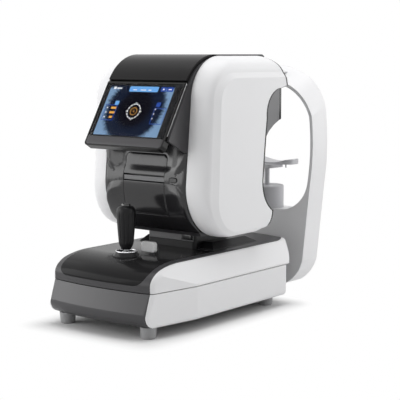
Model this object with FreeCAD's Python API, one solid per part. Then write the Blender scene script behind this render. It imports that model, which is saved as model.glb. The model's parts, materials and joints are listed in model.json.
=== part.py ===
"""Table-top autorefractor, built as an assembly of separate pieces.

Millimetres, +Z up, +Y towards the patient, +X to the operator's right. The model is drawn about the
middle of the base and is moved at the end, so that its origin is the centre of its footprint on the
table. Each piece is one STEP file in parts/.
"""
import FreeCAD, Part
import math
import os

V = FreeCAD.Vector
X_AXIS, Y_AXIS, Z_AXIS = V(1, 0, 0), V(0, 1, 0), V(0, 0, 1)

# ---------------------------------------------------------------- driving dimensions
# clearances
SLIDE_GAP = 0.5          # between pieces that slide or swing past each other
PANEL_GAP = 0.3          # between neighbouring covers of one body
RUN_FIT = 0.05           # radial clearance of a shaft that turns in its bore
WALL = 3.0               # thickness of the moulded covers
FAR = 500.0              # beyond every piece, for cutting blocks

# fixed base
FOOT_HEIGHT = 18.7
FOOT_RADIUS = 13.5
FOOT_X = 88.0
FOOT_INSET = 23.0        # foot centre from the ends of the base
BASE_HALF = 122.0        # half width of the base at the seam
BASE_FRONT = -187.0      # foremost point of the seam
BASE_REAR = 177.0
SEAM_Z = 73.0            # height of the seam between the fixed base and the moving stage
BREAK_Z = 42.0           # height where the front face turns under
FRONT_LEAN = 11.0        # how far the front face leans out from the seam down to BREAK_Z
BOW_RADIUS = 560.0       # plan radius of the bowed front
FACET_REAR = -83.0       # where the straight sides end and the front facets begin
FACET_HALF = 110.0       # half width at the front end of the facets
FACET_FRONT = -163.0
SPLIT_X = 103.0          # half width of the dark centre covers of base and stage
CORNER_RADIUS = 12.0     # upright rear corners of the base
FRONT_CORNER = 10.0      # upright corners between the bowed front and the facets
UNDERCUT = 22.0          # how far the front turns under below BREAK_Z
FOOT_EDGE = 7.0          # rounding along the lower edge of the base
PLATE_THICK = 3.0        # sheet-metal plates
STAGE_GAP = 1.2          # height of the seam
POST_X = (-60.0, 60.0)   # posts inside the base that carry its top plate
POST_Y = (-130.0, 0.0, 130.0)
SCREW_HEAD = 3.0

# moving stage
DECK_Z = 116.0
DECK_START = -113.0      # where the level deck begins behind the curved front
SHOULDER_Z = 77.0        # height where the side shoulders start to slope in
STAGE_REAR = 184.0       # rear end of the stage's straight sides
REAR_BOW = 25.0          # how far the bowed rear wall stands out between them
REAR_CORNER = 16.0
SPLIT_CORNER = 42.0      # plan rounding of the dark cover's rear corners
PANEL_HALF = 92.0        # half width of the glossy deck panel
PANEL_THICK = 4.0
PANEL_LOW_Z = 84.0       # front edge of the deck panel
PANEL_CORNER = 20.0
STROKE_X = 38.0          # stage travel to each side
STROKE_Y = 20.0          # stage travel fore and aft

# stage drive: racks on the base, pinions on a cross axle
RACK_X = 66.0
RACK_WIDTH = 8.0
RACK_HEIGHT = 4.0
AXLE_Y = 30.0
AXLE_RADIUS = 3.0
PINION_TEETH = 16
GEAR_MODULE = 1.0
BEARING_WIDTH = 7.0

# joystick
STICK_Y = -116.0
STICK_PIVOT_Z = 113.0
STICK_TOP_Z = 202.0
GRIP_RADIUS = 15.5
GRIP_FLUTES = 12
GRIP_NECK = 8.0          # radius of the grip's foot
BUTTON_PUSH = 2.0        # travel of the measuring button
BALL_RADIUS = 11.0
GIMBAL_RADIUS = 14.5
TRUNNION_RADIUS = 1.6     # cross pins of the gimbal
SOCKET_RADIUS = 22.0
RING_RADIUS = 17.5       # chrome ring round the stick's opening
RING_HEIGHT = 1.6
SHAFT_RADIUS = 5.0
COLLAR_TOP_Z = 122.0
TIP_ROOM = 16.0          # spare width of the pad that the stick's tip rides over

# lock lever
LEVER_X = 31.0
LEVER_Y = -84.0
LEVER_Z = 122.5
LEVER_THICK = 7.0
LEVER_REACH = 24.0       # from the hub to the far edge of the paddle
LEVER_RISE = 13.5
LEVER_DROP = 3.5
LEVER_POST = 4.0         # radius of the post behind the paddle

# pedestal and lift
PED_HALF = 52.0
PED_FRONT = -2.0
PED_REAR = 92.0
PED_TOP = 166.0
SKIRT_HALF = 82.0
SKIRT_FRONT = 10.0
SKIRT_REAR = 135.0
SKIRT_TOP = 127.0
STRIP_LOW = 127.8        # grey strip across the pedestal's front
STRIP_HIGH = 143.6
COLUMN_X = 34.0
COLUMN_Y = 45.0
COLUMN_RADIUS = 7.0
COLUMN_TOP = 262.0
SCREW_RADIUS = 5.0
MOTOR_RADIUS = 17.0
MOTOR_HEIGHT = 34.0
BRIDGE_Z = 200.0         # height of the head's lift bridge

# measuring head
CORE_HALF = 87.7         # half width of the black centre body
COVER_HALF = 131.0       # half width over the white side covers
BEVEL_HEIGHT = 4.0       # how far the raised panel of a side cover stands off
PANEL_BEVEL = 9.0        # width of the bevel round that panel
HOOD_HALF = 83.4
HEAD_TOP = 441.0
HOOD_RADIUS = 85.0       # roll of the hood from the display up to the flat top
HOOD_CENTRE_Y = 10.0
HOOD_PROUD = 5.5         # how far hood and display stand off the centre body's cheeks
DISPLAY_TILT = 30.9      # lean of the display from upright, degrees
CORE_BOTTOM = 144.0
COVER_LOW = 141.0        # lower rim of the side covers
CORE_FRONT = -57.0       # upright front wall of the centre body
CHEEK_Z = 284.0          # where the cheeks beside the display meet the front panel
FRONT_AT_CHEEK = -70.3   # the front panel's surface at that height
HEAD_REAR_TOP = 148.0    # rear end of the flat top
REAR_START = 62.0        # where the patient-side shell begins inside the side covers
REAR_LIP = 5.0           # how far that shell stands out past the covers' edge
LIP_SINK = 1.0           # how far its rim lies below the covers' outer face

# front panel and printer
FRONT_THICK = 8.0
BAND_DEPTH = 4.5         # waist band between the two bulged pads
BAND_LOW = 233.0
BAND_HIGH = 244.5
PRINTER_HALF = 44.0
LID_TOP = 279.0
DOOR_PIVOT_Y = -61.3
DOOR_PIVOT_Z = 180.0
DOOR_KNUCKLE = 1.9       # rounded lower edge of the printer door
DOOR_STUB = 1.2          # pins at its ends
LID_THICK = 4.0
LID_CORNER = 8.0
BAY_HALF = 47.0          # room for the printer in the centre body
BAY_FLOOR = 177.0
ROLL_RADIUS = 20.0
ROLL_WIDTH = 57.5
BUTTON_X = 63.5
BUTTON_Z = 238.8
BUTTON_RADIUS = 3.5
BUTTON_HALF = 3.5        # half the distance between the centres of its round ends
BUTTON_FRONT = -72.8

# display
DISPLAY_LENGTH = 124.0
DISPLAY_THICK = 13.0
DISPLAY_CORNER = 7.0
GLASS_THICK = 1.2
GLASS_MARGIN = 2.5
LCD_HALF = 76.8
LCD_LENGTH = 93.6
LCD_LOW_MARGIN = 19.4
LCD_THICK = 3.0
PIN_RADIUS = 2.5         # hinge pins that stand in from the cheeks
PIN_REACH = 8.0

# patient-side nose
NOSE_HALF = 75.0
NOSE_FRONT = 217.0
NOSE_BULGE = 20.0
NOSE_PANEL = 8.0         # depth of the black front panel
NOSE_TOP = HEAD_TOP - 41.0
NOSE_EDGE = 5.0          # rounding round the front panel
AXIS_Z = HEAD_TOP - 79.0 # optical axis
WINDOW_RADIUS = 16.0
MIRE_RADIUS = 29.0       # ring round the window whose circles are seen mirrored on the cornea
MIRE_GROOVES = (20.0, 24.5)
BARREL_RADIUS = 20.0

# face-rest arch
ARCH_FRONT = 262.0
ARCH_DEPTH = 49.0
ARCH_REAR = ARCH_FRONT + ARCH_DEPTH
ARCH_WALL = 5.5
ARCH_FOOT_Z = 18.7
HOLE_LOW_Z = 155.5       # sill of the face opening, where the chin rest stands
BRACKET_HALF = 58.0
BRACKET_LOW = 28.0
BRACKET_HIGH = 64.0
FOREHEAD_HALF = 38.0
FOREHEAD_THICK = 4.0

# chin rest
CHIN_Y = ARCH_FRONT + 20.0
CHIN_HOUSING_RADIUS = 32.0
CHIN_HOUSING_TOP = 197.0
CHIN_POST_RADIUS = 5.0
CUP_Y = ARCH_FRONT + 47.0
CUP_HALF = 46.5
PAPER_PIN_X = 29.0
CUP_DEPTH = 44.0
CUP_TOP = 245.0
CUP_THICK = 9.0
CUP_DISH = 6.0
ARM_LOW_Z = 229.0
CHIN_POST_LOW_Z = 132.0

# mains inlet and switch in the rear of the base
INLET_X = -86.0
INLET_Z = 45.0
SWITCH_X = 84.0
SWITCH_TURN = 16.0       # swing of the rocker from off to on, degrees


# ---------------------------------------------------------------- small helpers
def box(x0, x1, y0, y1, z0, z1):
    """Box between two corners."""
    return Part.makeBox(x1 - x0, y1 - y0, z1 - z0, V(x0, y0, z0))


def rod(radius, start, end):
    """Cylinder from one point to another."""
    axis = end - start
    return Part.makeCylinder(radius, axis.Length, start, axis)


def tube(outer, inner, start, end):
    """Cylinder with a bore."""
    return rod(outer, start, end).cut(rod(inner, start, end))


def line(a, b):
    """Straight edge."""
    return Part.LineSegment(a, b).toShape()


def arc(a, through, b):
    """Arc through three points."""
    return Part.Arc(a, through, b).toShape()


def curve(points):
    """Smooth edge through points."""
    spline = Part.BSplineCurve()
    spline.interpolate(points)
    return spline.toShape()


def face(edges):
    """Flat face bounded by edges."""
    return Part.Face(Part.Wire(Part.__sortEdges__(edges)))


def along_x(edges, half):
    """Side profile in the Y-Z plane, extruded from -half to half."""
    flat = face(edges)
    flat.translate(V(-half, 0, 0))
    return flat.extrude(V(2 * half, 0, 0))


def rectangle(half, y0, y1, z):
    """Level rectangular wire."""
    corners = [V(-half, y0, z), V(half, y0, z), V(half, y1, z), V(-half, y1, z)]
    return Part.makePolygon(corners + corners[:1])


def polygon(points):
    """Straight edges joining points and closing on the first."""
    return [line(a, b) for a, b in zip(points, points[1:] + points[:1])]


def mirrored(shape):
    """Copy on the other side of the middle plane."""
    return shape.mirror(V(0, 0, 0), X_AXIS)


def both_sides(shape):
    """A piece and its mirror image as a group of separate solids."""
    return Part.makeCompound(shape.Solids + mirrored(shape).Solids)


def rounded(shape, radius, test):
    """Fillet the edges that a test picks."""
    edges = [e for e in shape.Edges if test(e)]
    return shape.makeFillet(radius, edges) if edges else shape


def upright(edge):
    """True for straight edges along Z."""
    ends = [v.Point for v in edge.Vertexes]
    return len(ends) == 2 and (ends[0] - ends[1]).cross(Z_AXIS).Length < 1e-6


def biggest(shape):
    """The largest solid of a shape."""
    return max(shape.Solids, key=lambda solid: solid.Volume)


# ---------------------------------------------------------------- outer forms of base and stage
def bowed(edges):
    """Revolve a side profile, drawn at the middle plane, about the centre of the bowed front."""
    return face(edges).revolve(V(0, BASE_FRONT + BOW_RADIUS, 0), Z_AXIS, 360)


def plan_prism(inset, low, high, foot_radius):
    """Upright prism over the plan of the base: facets in front, straight sides, rounded rear corners."""
    half = BASE_HALF - inset
    rear = BASE_REAR - inset
    slope = (BASE_HALF - FACET_HALF) / (FACET_REAR - FACET_FRONT)
    nose = BASE_FRONT - 2 * FRONT_LEAN
    nose_half = half - slope * (FACET_REAR - nose)
    right = [V(nose_half, nose, low), V(half, FACET_REAR, low), V(half, rear, low)]
    left = [V(-p.x, p.y, p.z) for p in reversed(right)]
    prism = face(polygon(right + left)).extrude(V(0, 0, high - low))
    prism = rounded(prism, CORNER_RADIUS - inset, lambda e: upright(e) and e.Vertexes[0].Point.y > rear - 1)
    if foot_radius > 0:
        prism = rounded(prism, foot_radius, lambda e: abs(e.BoundBox.ZMax - low) < 0.01)
    return prism


def stage_plan(inset, low, high):
    """Upright prism over the plan of the stage: like the base's, with a bowed rear."""
    half = BASE_HALF - inset
    rear = STAGE_REAR - inset
    front = plan_prism(inset, low, high, 0).common(box(-half, half, -FAR, 0, low, high))
    back = face([line(V(-half, rear, low), V(-half, 0, low)), line(V(-half, 0, low), V(half, 0, low)),
                 line(V(half, 0, low), V(half, rear, low)),
                 arc(V(half, rear, low), V(0, rear + REAR_BOW, low), V(-half, rear, low))])
    back = rounded(back.extrude(V(0, 0, high - low)), REAR_CORNER - inset,
                   lambda e: upright(e) and e.Vertexes[0].Point.y > rear - 1)
    return front.fuse(back).removeSplitter()


def split_corner(grow):
    """Outside of the dark cover's rounded rear corners, on the right side."""
    x, y = SPLIT_X - SPLIT_CORNER, STAGE_REAR + 4 - SPLIT_CORNER / 2
    block = box(x, FAR, y, FAR, 0, FAR)
    return block.cut(rod(SPLIT_CORNER + grow, V(x, y, -1), V(x, y, FAR + 1)))


def front_corner(edge):
    """True for the edges where the bowed front meets the facets and shoulders."""
    centre = edge.CenterOfMass
    return abs(abs(centre.x) - FACET_HALF) < 9 and centre.y < DECK_START - 12 and edge.BoundBox.ZLength > 8


def low_form(inset):
    """Outer form of the fixed base, shrunk by an inset."""
    bottom = FOOT_HEIGHT + inset
    front = BASE_FRONT + inset
    lean = front - FRONT_LEAN
    back = BASE_FRONT + BOW_RADIUS
    profile = [
        line(V(0, back, SEAM_Z), V(0, front, SEAM_Z)),
        line(V(0, front, SEAM_Z), V(0, lean, BREAK_Z)),
        arc(V(0, lean, BREAK_Z), V(0, lean + UNDERCUT * 0.2, bottom + UNDERCUT * 0.35),
            V(0, lean + UNDERCUT, bottom)),
        line(V(0, lean + UNDERCUT, bottom), V(0, back, bottom)),
        line(V(0, back, bottom), V(0, back, SEAM_Z)),
    ]
    form = bowed(profile).common(plan_prism(inset, bottom, SEAM_Z, FOOT_EDGE - inset))
    tall = lambda e: front_corner(e) and e.BoundBox.ZLength > (SEAM_Z - BREAK_Z) * 0.9
    return rounded(biggest(form), FRONT_CORNER - inset, tall)


def high_form(inset):
    """Outer form of the stage cover, shrunk by an inset."""
    low = SEAM_Z + STAGE_GAP
    front = BASE_FRONT + inset
    half = BASE_HALF - inset
    top = DECK_Z - inset
    back = BASE_FRONT + BOW_RADIUS
    spring = PANEL_LOW_Z + 1
    ellipse = Part.Ellipse(V(0, front, spring), V(0, DECK_START, top), V(0, DECK_START, spring))
    crest = Part.ArcOfEllipse(ellipse, 0, math.pi / 2).toShape()
    profile = [
        crest,
        line(V(0, DECK_START, top), V(0, back, top)),
        line(V(0, back, top), V(0, back, low)),
        line(V(0, back, low), V(0, front, low)),
        line(V(0, front, low), V(0, front, spring)),
    ]
    deck_half = SPLIT_X - inset * 0.4
    right = [(half, low), (half, SHOULDER_Z), (deck_half, top)]
    left = [(-x, z) for x, z in reversed(right)]
    roof = face(polygon([V(x, -FAR, z) for x, z in right + left]))
    form = bowed(profile).common(stage_plan(inset, low, top))
    form = form.common(roof.extrude(V(0, 2 * FAR, 0)))
    return rounded(biggest(form), FRONT_CORNER - inset, front_corner)


def side_split(side):
    """Half space outside the dark centre covers, on one side (+1 or -1)."""
    inner = SPLIT_X + PANEL_GAP / 2
    block = box(inner, FAR, -FAR, FAR, 0, FAR)
    return block if side > 0 else mirrored(block)


def centre_split():
    """Slab that holds the dark centre covers."""
    half = SPLIT_X - PANEL_GAP / 2
    return box(-half, half, -FAR, FAR, 0, FAR)


# ---------------------------------------------------------------- fixed base
def base_pieces():
    """Housing, side panels, top plate, racks, feet and what stands on the base."""
    out = {}
    outer = low_form(0)
    inner = low_form(WALL)
    ledge = SEAM_Z - 1.5 - PLATE_THICK
    cavity = inner.common(box(WALL - SPLIT_X, SPLIT_X - WALL, -FAR, FAR, 0, FAR))
    housing = outer.common(centre_split()).cut(cavity)
    for x in POST_X:
        for y in POST_Y:
            post = rod(5, V(x, y, FOOT_HEIGHT + WALL - 0.5), V(x, y, ledge))
            housing = housing.fuse(post)
    out["base_housing"] = housing
    skin = outer.cut(inner)
    out["base_side_right"] = biggest(skin.common(side_split(1)))
    out["base_side_left"] = biggest(skin.common(side_split(-1)))
    half = SPLIT_X - WALL - SLIDE_GAP
    plate = inner.common(box(-half, half, -FAR, FAR, ledge, ledge + PLATE_THICK))
    reach_x, reach_y = STROKE_X + TIP_ROOM, STROKE_Y + TIP_ROOM
    pad = box(-reach_x, reach_x, STICK_Y - reach_y, STICK_Y + reach_y, ledge + PLATE_THICK, SEAM_Z)
    out["base_plate"] = plate.fuse(pad)
    feet = []
    for x in (-FOOT_X, FOOT_X):
        for y in (BASE_FRONT + FOOT_INSET, BASE_REAR - FOOT_INSET):
            pad = Part.makeCone(FOOT_RADIUS - 1.5, FOOT_RADIUS, FOOT_HEIGHT, V(x, y, 0))
            feet.append(rounded(pad, 1.5, lambda e: e.BoundBox.ZMax < 0.01))
    out["feet"] = Part.makeCompound(feet)
    return out, ledge + PLATE_THICK


def rack_pieces(plate_top):
    """Toothed racks on the base plate, the axle with its pinions and the bearing blocks."""
    out = {}
    pitch = math.pi * GEAR_MODULE
    pitch_z = plate_top + RACK_HEIGHT
    reach = STROKE_Y + 16
    count = int(2 * reach / pitch)
    half_tooth = pitch / 4 - 0.12
    lean = GEAR_MODULE * math.tan(math.radians(20))
    root = pitch_z - 1.25 * GEAR_MODULE
    tip = pitch_z + 0.9 * GEAR_MODULE
    points = [V(0, AXLE_Y - count / 2 * pitch - pitch, plate_top)]
    points += [V(0, AXLE_Y - count / 2 * pitch - pitch, root)]
    for i in range(-(count // 2), count // 2 + 1):
        y = AXLE_Y + i * pitch
        points += [V(0, y - half_tooth - lean, root), V(0, y - half_tooth + lean * 0.9, tip),
                   V(0, y + half_tooth - lean * 0.9, tip), V(0, y + half_tooth + lean, root)]
    points += [V(0, AXLE_Y + count / 2 * pitch + pitch, root)]
    points += [V(0, AXLE_Y + count / 2 * pitch + pitch, plate_top)]
    rack = along_x(polygon(points), RACK_WIDTH / 2)
    rack.translate(V(RACK_X, 0, 0))
    out["racks"] = both_sides(rack)
    # pinion with straight-sided teeth, one gap facing the rack tooth below the axle
    pitch_r = GEAR_MODULE * PINION_TEETH / 2
    axle_z = pitch_z + pitch_r
    step = 2 * math.pi / PINION_TEETH
    points = []
    for i in range(PINION_TEETH):
        middle = -math.pi / 2 + (i + 0.5) * step
        root, tip = pitch_r - 1.25 * GEAR_MODULE, pitch_r + 0.85 * GEAR_MODULE
        for radius, spread in ((root, -0.33), (tip, -0.13), (tip, 0.13), (root, 0.33)):
            angle = middle + spread * step
            points.append(V(0, radius * math.cos(angle), radius * math.sin(angle)))
    pinion = along_x(polygon(points), RACK_WIDTH / 2)
    axle_r = AXLE_RADIUS
    bore = rod(axle_r, V(-10, 0, 0), V(10, 0, 0))
    pinion = pinion.cut(bore)
    pinion.translate(V(RACK_X, AXLE_Y, axle_z))
    out["pinions"] = both_sides(pinion)
    reach_x = RACK_X + RACK_WIDTH / 2
    out["stage_axle"] = rod(axle_r, V(-reach_x, AXLE_Y, axle_z), V(reach_x, AXLE_Y, axle_z))
    inner_x = RACK_X - RACK_WIDTH / 2 - 1
    block = box(inner_x - BEARING_WIDTH, inner_x, AXLE_Y - 10, AXLE_Y + 10, plate_top + SLIDE_GAP, axle_z + 7)
    block = block.cut(rod(axle_r + RUN_FIT, V(0, AXLE_Y, axle_z), V(200, AXLE_Y, axle_z)))
    out["axle_bearings"] = both_sides(block)
    return out, axle_z, axle_r, inner_x - BEARING_WIDTH


def lever_post_y():
    """Where the post stands that carries the lock lever, behind its paddle."""
    return LEVER_Y + LEVER_THICK / 2 + SLIDE_GAP + LEVER_POST


def stage_pieces(plate_top, axle_z, axle_r, bearing_x):
    """Stage plate, bush block, covers, deck panel, pedestal, lift columns and motor."""
    out = {}
    outer = high_form(0)
    under = high_form(PANEL_THICK + WALL)
    skin_in = high_form(WALL)
    panel_zone = box(-PANEL_HALF, PANEL_HALF, -FAR, PED_FRONT + 2, PANEL_LOW_Z, FAR)
    panel_zone = rounded(panel_zone, PANEL_CORNER,
                         lambda e: abs(e.BoundBox.ZMax - PANEL_LOW_Z) < 0.01 and e.BoundBox.XLength < 0.01)
    wide_zone = box(-PANEL_HALF - PANEL_GAP, PANEL_HALF + PANEL_GAP, -FAR, PED_FRONT + 2 + PANEL_GAP,
                    PANEL_LOW_Z - PANEL_GAP, FAR)
    wide_zone = rounded(wide_zone, PANEL_CORNER + PANEL_GAP,
                        lambda e: abs(e.BoundBox.ZMax - PANEL_LOW_Z + PANEL_GAP) < 0.01
                        and e.BoundBox.XLength < 0.01)
    panel_under = high_form(PANEL_THICK)
    panel = outer.cut(panel_under).common(panel_zone)
    cover = outer.common(centre_split()).cut(under).cut(both_sides(split_corner(-PANEL_GAP / 2)))
    cover = cover.cut(outer.cut(panel_under).common(wide_zone))
    ped_hole = box(-PED_HALF + 8, PED_HALF - 8, PED_FRONT + 8, PED_REAR - 8, 0, FAR)
    cover = cover.cut(ped_hole)
    stick_hole = rod(SOCKET_RADIUS + PANEL_GAP, V(0, STICK_Y, 0), V(0, STICK_Y, FAR))
    cover = cover.cut(stick_hole)
    panel = panel.cut(stick_hole)
    post_y = lever_post_y()
    lever_hole = rod(LEVER_POST + PANEL_GAP, V(LEVER_X, post_y, SEAM_Z), V(LEVER_X, post_y, DECK_Z + WALL))
    panel = panel.cut(lever_hole)
    cover = cover.cut(lever_hole)
    out["deck_panel"] = biggest(panel)
    out["stage_cover"] = biggest(cover)
    side = outer.cut(skin_in)
    out["stage_side_right"] = biggest(side.common(side_split(1).fuse(split_corner(PANEL_GAP / 2))))
    out["stage_side_left"] = mirrored(out["stage_side_right"])
    plate_z = axle_z + 10
    plate = box(-88, 88, -140, 140, plate_z, plate_z + PLATE_THICK)
    plate = rounded(plate, 10, upright)
    plate = plate.cut(rod(SOCKET_RADIUS - 2, V(0, STICK_Y, 0), V(0, STICK_Y, FAR)))
    out["stage_plate"] = plate
    half = bearing_x - STROKE_X - SLIDE_GAP
    block = box(-half, half, AXLE_Y - 11, AXLE_Y + 11, axle_z - 8, plate_z)
    block = block.cut(rod(axle_r + RUN_FIT, V(-100, AXLE_Y, axle_z), V(100, AXLE_Y, axle_z)))
    out["axle_bush"] = block
    return out, plate_z + PLATE_THICK


def pedestal_pieces(plate_top):
    """Pedestal between stage and head, with its strip, the lift columns, screw and motor."""
    out = {}
    neck = box(-PED_HALF, PED_HALF, PED_FRONT, PED_REAR, DECK_Z, PED_TOP)
    neck = rounded(neck, 6, upright)
    flare = SKIRT_TOP - DECK_Z
    foot = rectangle(SKIRT_HALF, SKIRT_FRONT, SKIRT_REAR, DECK_Z)
    rim = rectangle(SKIRT_HALF - flare, SKIRT_FRONT + flare, SKIRT_REAR - 2 * flare, SKIRT_TOP)
    skirt = Part.makeLoft([foot, rim], True, True)
    shell = neck.fuse(skirt)
    hollow = box(-PED_HALF + WALL, PED_HALF - WALL, PED_FRONT + WALL, PED_REAR - WALL,
                 DECK_Z - 1, PED_TOP + 1)
    shell = shell.cut(hollow)
    strip_half = PED_HALF - WALL
    recess = 1.5
    shell = shell.cut(box(-strip_half, strip_half, PED_FRONT - 1, PED_FRONT + recess, STRIP_LOW, STRIP_HIGH))
    out["pedestal"] = shell
    out["pedestal_strip"] = box(PANEL_GAP - strip_half, strip_half - PANEL_GAP, PED_FRONT + recess / 3,
                                PED_FRONT + recess, STRIP_LOW + PANEL_GAP, STRIP_HIGH - PANEL_GAP)
    column = rod(COLUMN_RADIUS, V(COLUMN_X, COLUMN_Y, plate_top), V(COLUMN_X, COLUMN_Y, COLUMN_TOP))
    out["lift_columns"] = both_sides(column)
    socket_z = plate_top + 8
    motor = rod(MOTOR_RADIUS, V(0, COLUMN_Y, plate_top), V(0, COLUMN_Y, plate_top + MOTOR_HEIGHT))
    motor = motor.cut(rod(SCREW_RADIUS + RUN_FIT, V(0, COLUMN_Y, socket_z), V(0, COLUMN_Y, COLUMN_TOP)))
    out["lift_motor"] = motor
    screw_foot = V(0, COLUMN_Y, socket_z + PANEL_GAP)
    out["lift_screw"] = rod(SCREW_RADIUS, screw_foot, V(0, COLUMN_Y, COLUMN_TOP - 8))
    return out


def joystick_pieces():
    """Socket, gimbal ring, ball and shaft, fluted grip, button, chrome ring and lock lever."""
    out = {}
    pivot = V(0, STICK_Y, STICK_PIVOT_Z)
    up = lambda z: V(0, STICK_Y, z)
    deck_low = DECK_Z - PANEL_THICK - WALL
    socket = rod(SOCKET_RADIUS, up(deck_low - 10), up(DECK_Z)).fuse(
        Part.makeCone(SOCKET_RADIUS - 1, RING_RADIUS, COLLAR_TOP_Z - DECK_Z, up(DECK_Z)))
    socket = socket.cut(rod(SOCKET_RADIUS - 5, up(0), up(COLLAR_TOP_Z - 2.5)))
    socket = socket.cut(rod(RING_RADIUS - 4, up(COLLAR_TOP_Z - 3), up(COLLAR_TOP_Z + 1)))
    trunnion = TRUNNION_RADIUS
    pins_x = rod(trunnion + RUN_FIT, pivot - V(30, 0, 0), pivot + V(30, 0, 0))
    socket = socket.cut(rod(trunnion + RUN_FIT, pivot - V(20, 0, 0), pivot + V(20, 0, 0)))
    out["joystick_socket"] = socket
    ring_in = BALL_RADIUS + SLIDE_GAP
    ring_out = GIMBAL_RADIUS
    ring = tube(ring_out, ring_in, pivot - V(0, 0, 2.5), pivot + V(0, 0, 2.5))
    stubs = rod(trunnion, pivot + V(ring_out - 1, 0, 0), pivot + V(19, 0, 0)).fuse(
        rod(trunnion, pivot - V(ring_out - 1, 0, 0), pivot - V(19, 0, 0)))
    ring = ring.fuse(stubs)
    ring = ring.cut(rod(trunnion + RUN_FIT, pivot - V(0, 30, 0), pivot + V(0, 30, 0)))
    out["gimbal_ring"] = ring
    ball = Part.makeSphere(BALL_RADIUS, pivot)
    ball = ball.fuse(rod(trunnion, pivot - V(0, 14, 0), pivot + V(0, 14, 0)))
    ball = ball.fuse(rod(SHAFT_RADIUS, pivot, up(STICK_TOP_Z - 9)))
    tip = up(SEAM_Z + SLIDE_GAP + SHAFT_RADIUS)
    ball = ball.fuse(rod(SHAFT_RADIUS - 1, tip, pivot)).fuse(Part.makeSphere(SHAFT_RADIUS, tip))
    out["joystick_shaft"] = ball.removeSplitter()
    ring_z = COLLAR_TOP_Z
    ring_top = ring_z + RING_HEIGHT
    chrome = tube(RING_RADIUS, RING_RADIUS - 2, up(ring_z), up(ring_top))
    chrome = rounded(chrome, 0.7, lambda e: abs(e.BoundBox.ZMin - ring_top) < 0.01)
    out["joystick_ring"] = chrome
    # grip: waisted body of revolution with flutes
    low, high = STICK_PIVOT_Z + 13, STICK_TOP_Z - 2
    neck, knee, knee_z, brim_z = GRIP_NECK, GRIP_NECK + 3, low + 9, high - 24
    profile = [
        line(V(0, 0, low), V(neck, 0, low)),
        line(V(neck, 0, low), V(knee, 0, knee_z)),
        line(V(knee, 0, knee_z), V(GRIP_RADIUS, 0, brim_z)),
        line(V(GRIP_RADIUS, 0, brim_z), V(GRIP_RADIUS, 0, high - 3)),
        arc(V(GRIP_RADIUS, 0, high - 3), V(GRIP_RADIUS - 0.9, 0, high - 0.9), V(GRIP_RADIUS - 3, 0, high)),
        line(V(GRIP_RADIUS - 3, 0, high), V(0, 0, high)),
        line(V(0, 0, high), V(0, 0, low)),
    ]
    grip = face(profile).revolve(V(0, 0, 0), Z_AXIS, 360)
    lean = (GRIP_RADIUS - knee) / (brim_z - knee_z)
    flute_low, flute_high = knee_z + 3, brim_z - 3
    flute = 1.5
    for i in range(GRIP_FLUTES):
        angle = 2 * math.pi * i / GRIP_FLUTES
        side = V(math.cos(angle), math.sin(angle), 0)
        foot = side * (knee + lean * (flute_low - knee_z) + flute / 3) + V(0, 0, flute_low)
        head = side * (knee + lean * (flute_high - knee_z) + flute / 3) + V(0, 0, flute_high)
        grip = grip.cut(rod(flute, foot, head))
    grip = grip.cut(rod(SHAFT_RADIUS + RUN_FIT, V(0, 0, low - 1), V(0, 0, high - 8)))
    grip = grip.cut(rod(7.6, V(0, 0, high - 6), V(0, 0, high + 1)))
    grip = grip.cut(rod(SHAFT_RADIUS + RUN_FIT, V(0, 0, high - 9), V(0, 0, high - 5)))
    grip.translate(V(0, STICK_Y, 0))
    out["joystick_grip"] = grip
    out["joystick_button"] = rod(7.2, up(high - 6 + BUTTON_PUSH), up(high + 0.8))
    # lock lever: a thick paddle facing the operator, on a pin that stands out of a post behind it
    hub = V(LEVER_X, LEVER_Y, LEVER_Z)
    near, far = LEVER_Y - LEVER_THICK / 2, LEVER_Y + LEVER_THICK / 2
    paddle = box(LEVER_X - LEVER_REACH, LEVER_X + LEVER_DROP + 1, near, far, LEVER_Z - LEVER_DROP,
                 LEVER_Z + LEVER_RISE)
    paddle = rounded(paddle, 4, lambda e: abs(e.BoundBox.YLength - LEVER_THICK) < 0.01)
    paddle = rounded(paddle, 1.2, lambda e: e.BoundBox.YLength < 0.01 and e.BoundBox.YMin < near + 0.01)
    out["lock_lever"] = paddle.cut(rod(1.5 + RUN_FIT, hub - V(0, 1, 0), hub + V(0, LEVER_THICK, 0)))
    post_y = lever_post_y()
    post = rod(LEVER_POST, V(LEVER_X, post_y, DECK_Z - 16), V(LEVER_X, post_y, LEVER_Z + 4))
    pin_end = V(LEVER_X, post_y, LEVER_Z)
    out["lever_bracket"] = post.fuse(rod(1.5, hub - V(0, 0.5, 0), pin_end))
    return out


# ---------------------------------------------------------------- measuring head
LEAN = math.radians(DISPLAY_TILT)
UP = V(0, math.sin(LEAN), math.cos(LEAN))        # along the display, towards its top
OUT = V(0, -math.cos(LEAN), math.sin(LEAN))      # out of the display, towards the operator
HOOD_CENTRE = V(0, HOOD_CENTRE_Y, HEAD_TOP - HOOD_RADIUS)
GLASS_TOP = HOOD_CENTRE + OUT * HOOD_RADIUS
GLASS_LOW = GLASS_TOP - UP * DISPLAY_LENGTH
HINGE_DROP = DISPLAY_THICK / 2 + SLIDE_GAP
HINGE = GLASS_TOP - UP * HINGE_DROP - OUT * (DISPLAY_THICK / 2)


def roll(radius, fraction):
    """Point on the hood's roll: fraction 0 at the display, 1 at the flat top."""
    angle = LEAN + (math.pi / 2 - LEAN) * fraction
    return HOOD_CENTRE + V(0, -math.cos(angle) * radius, math.sin(angle) * radius)


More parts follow.
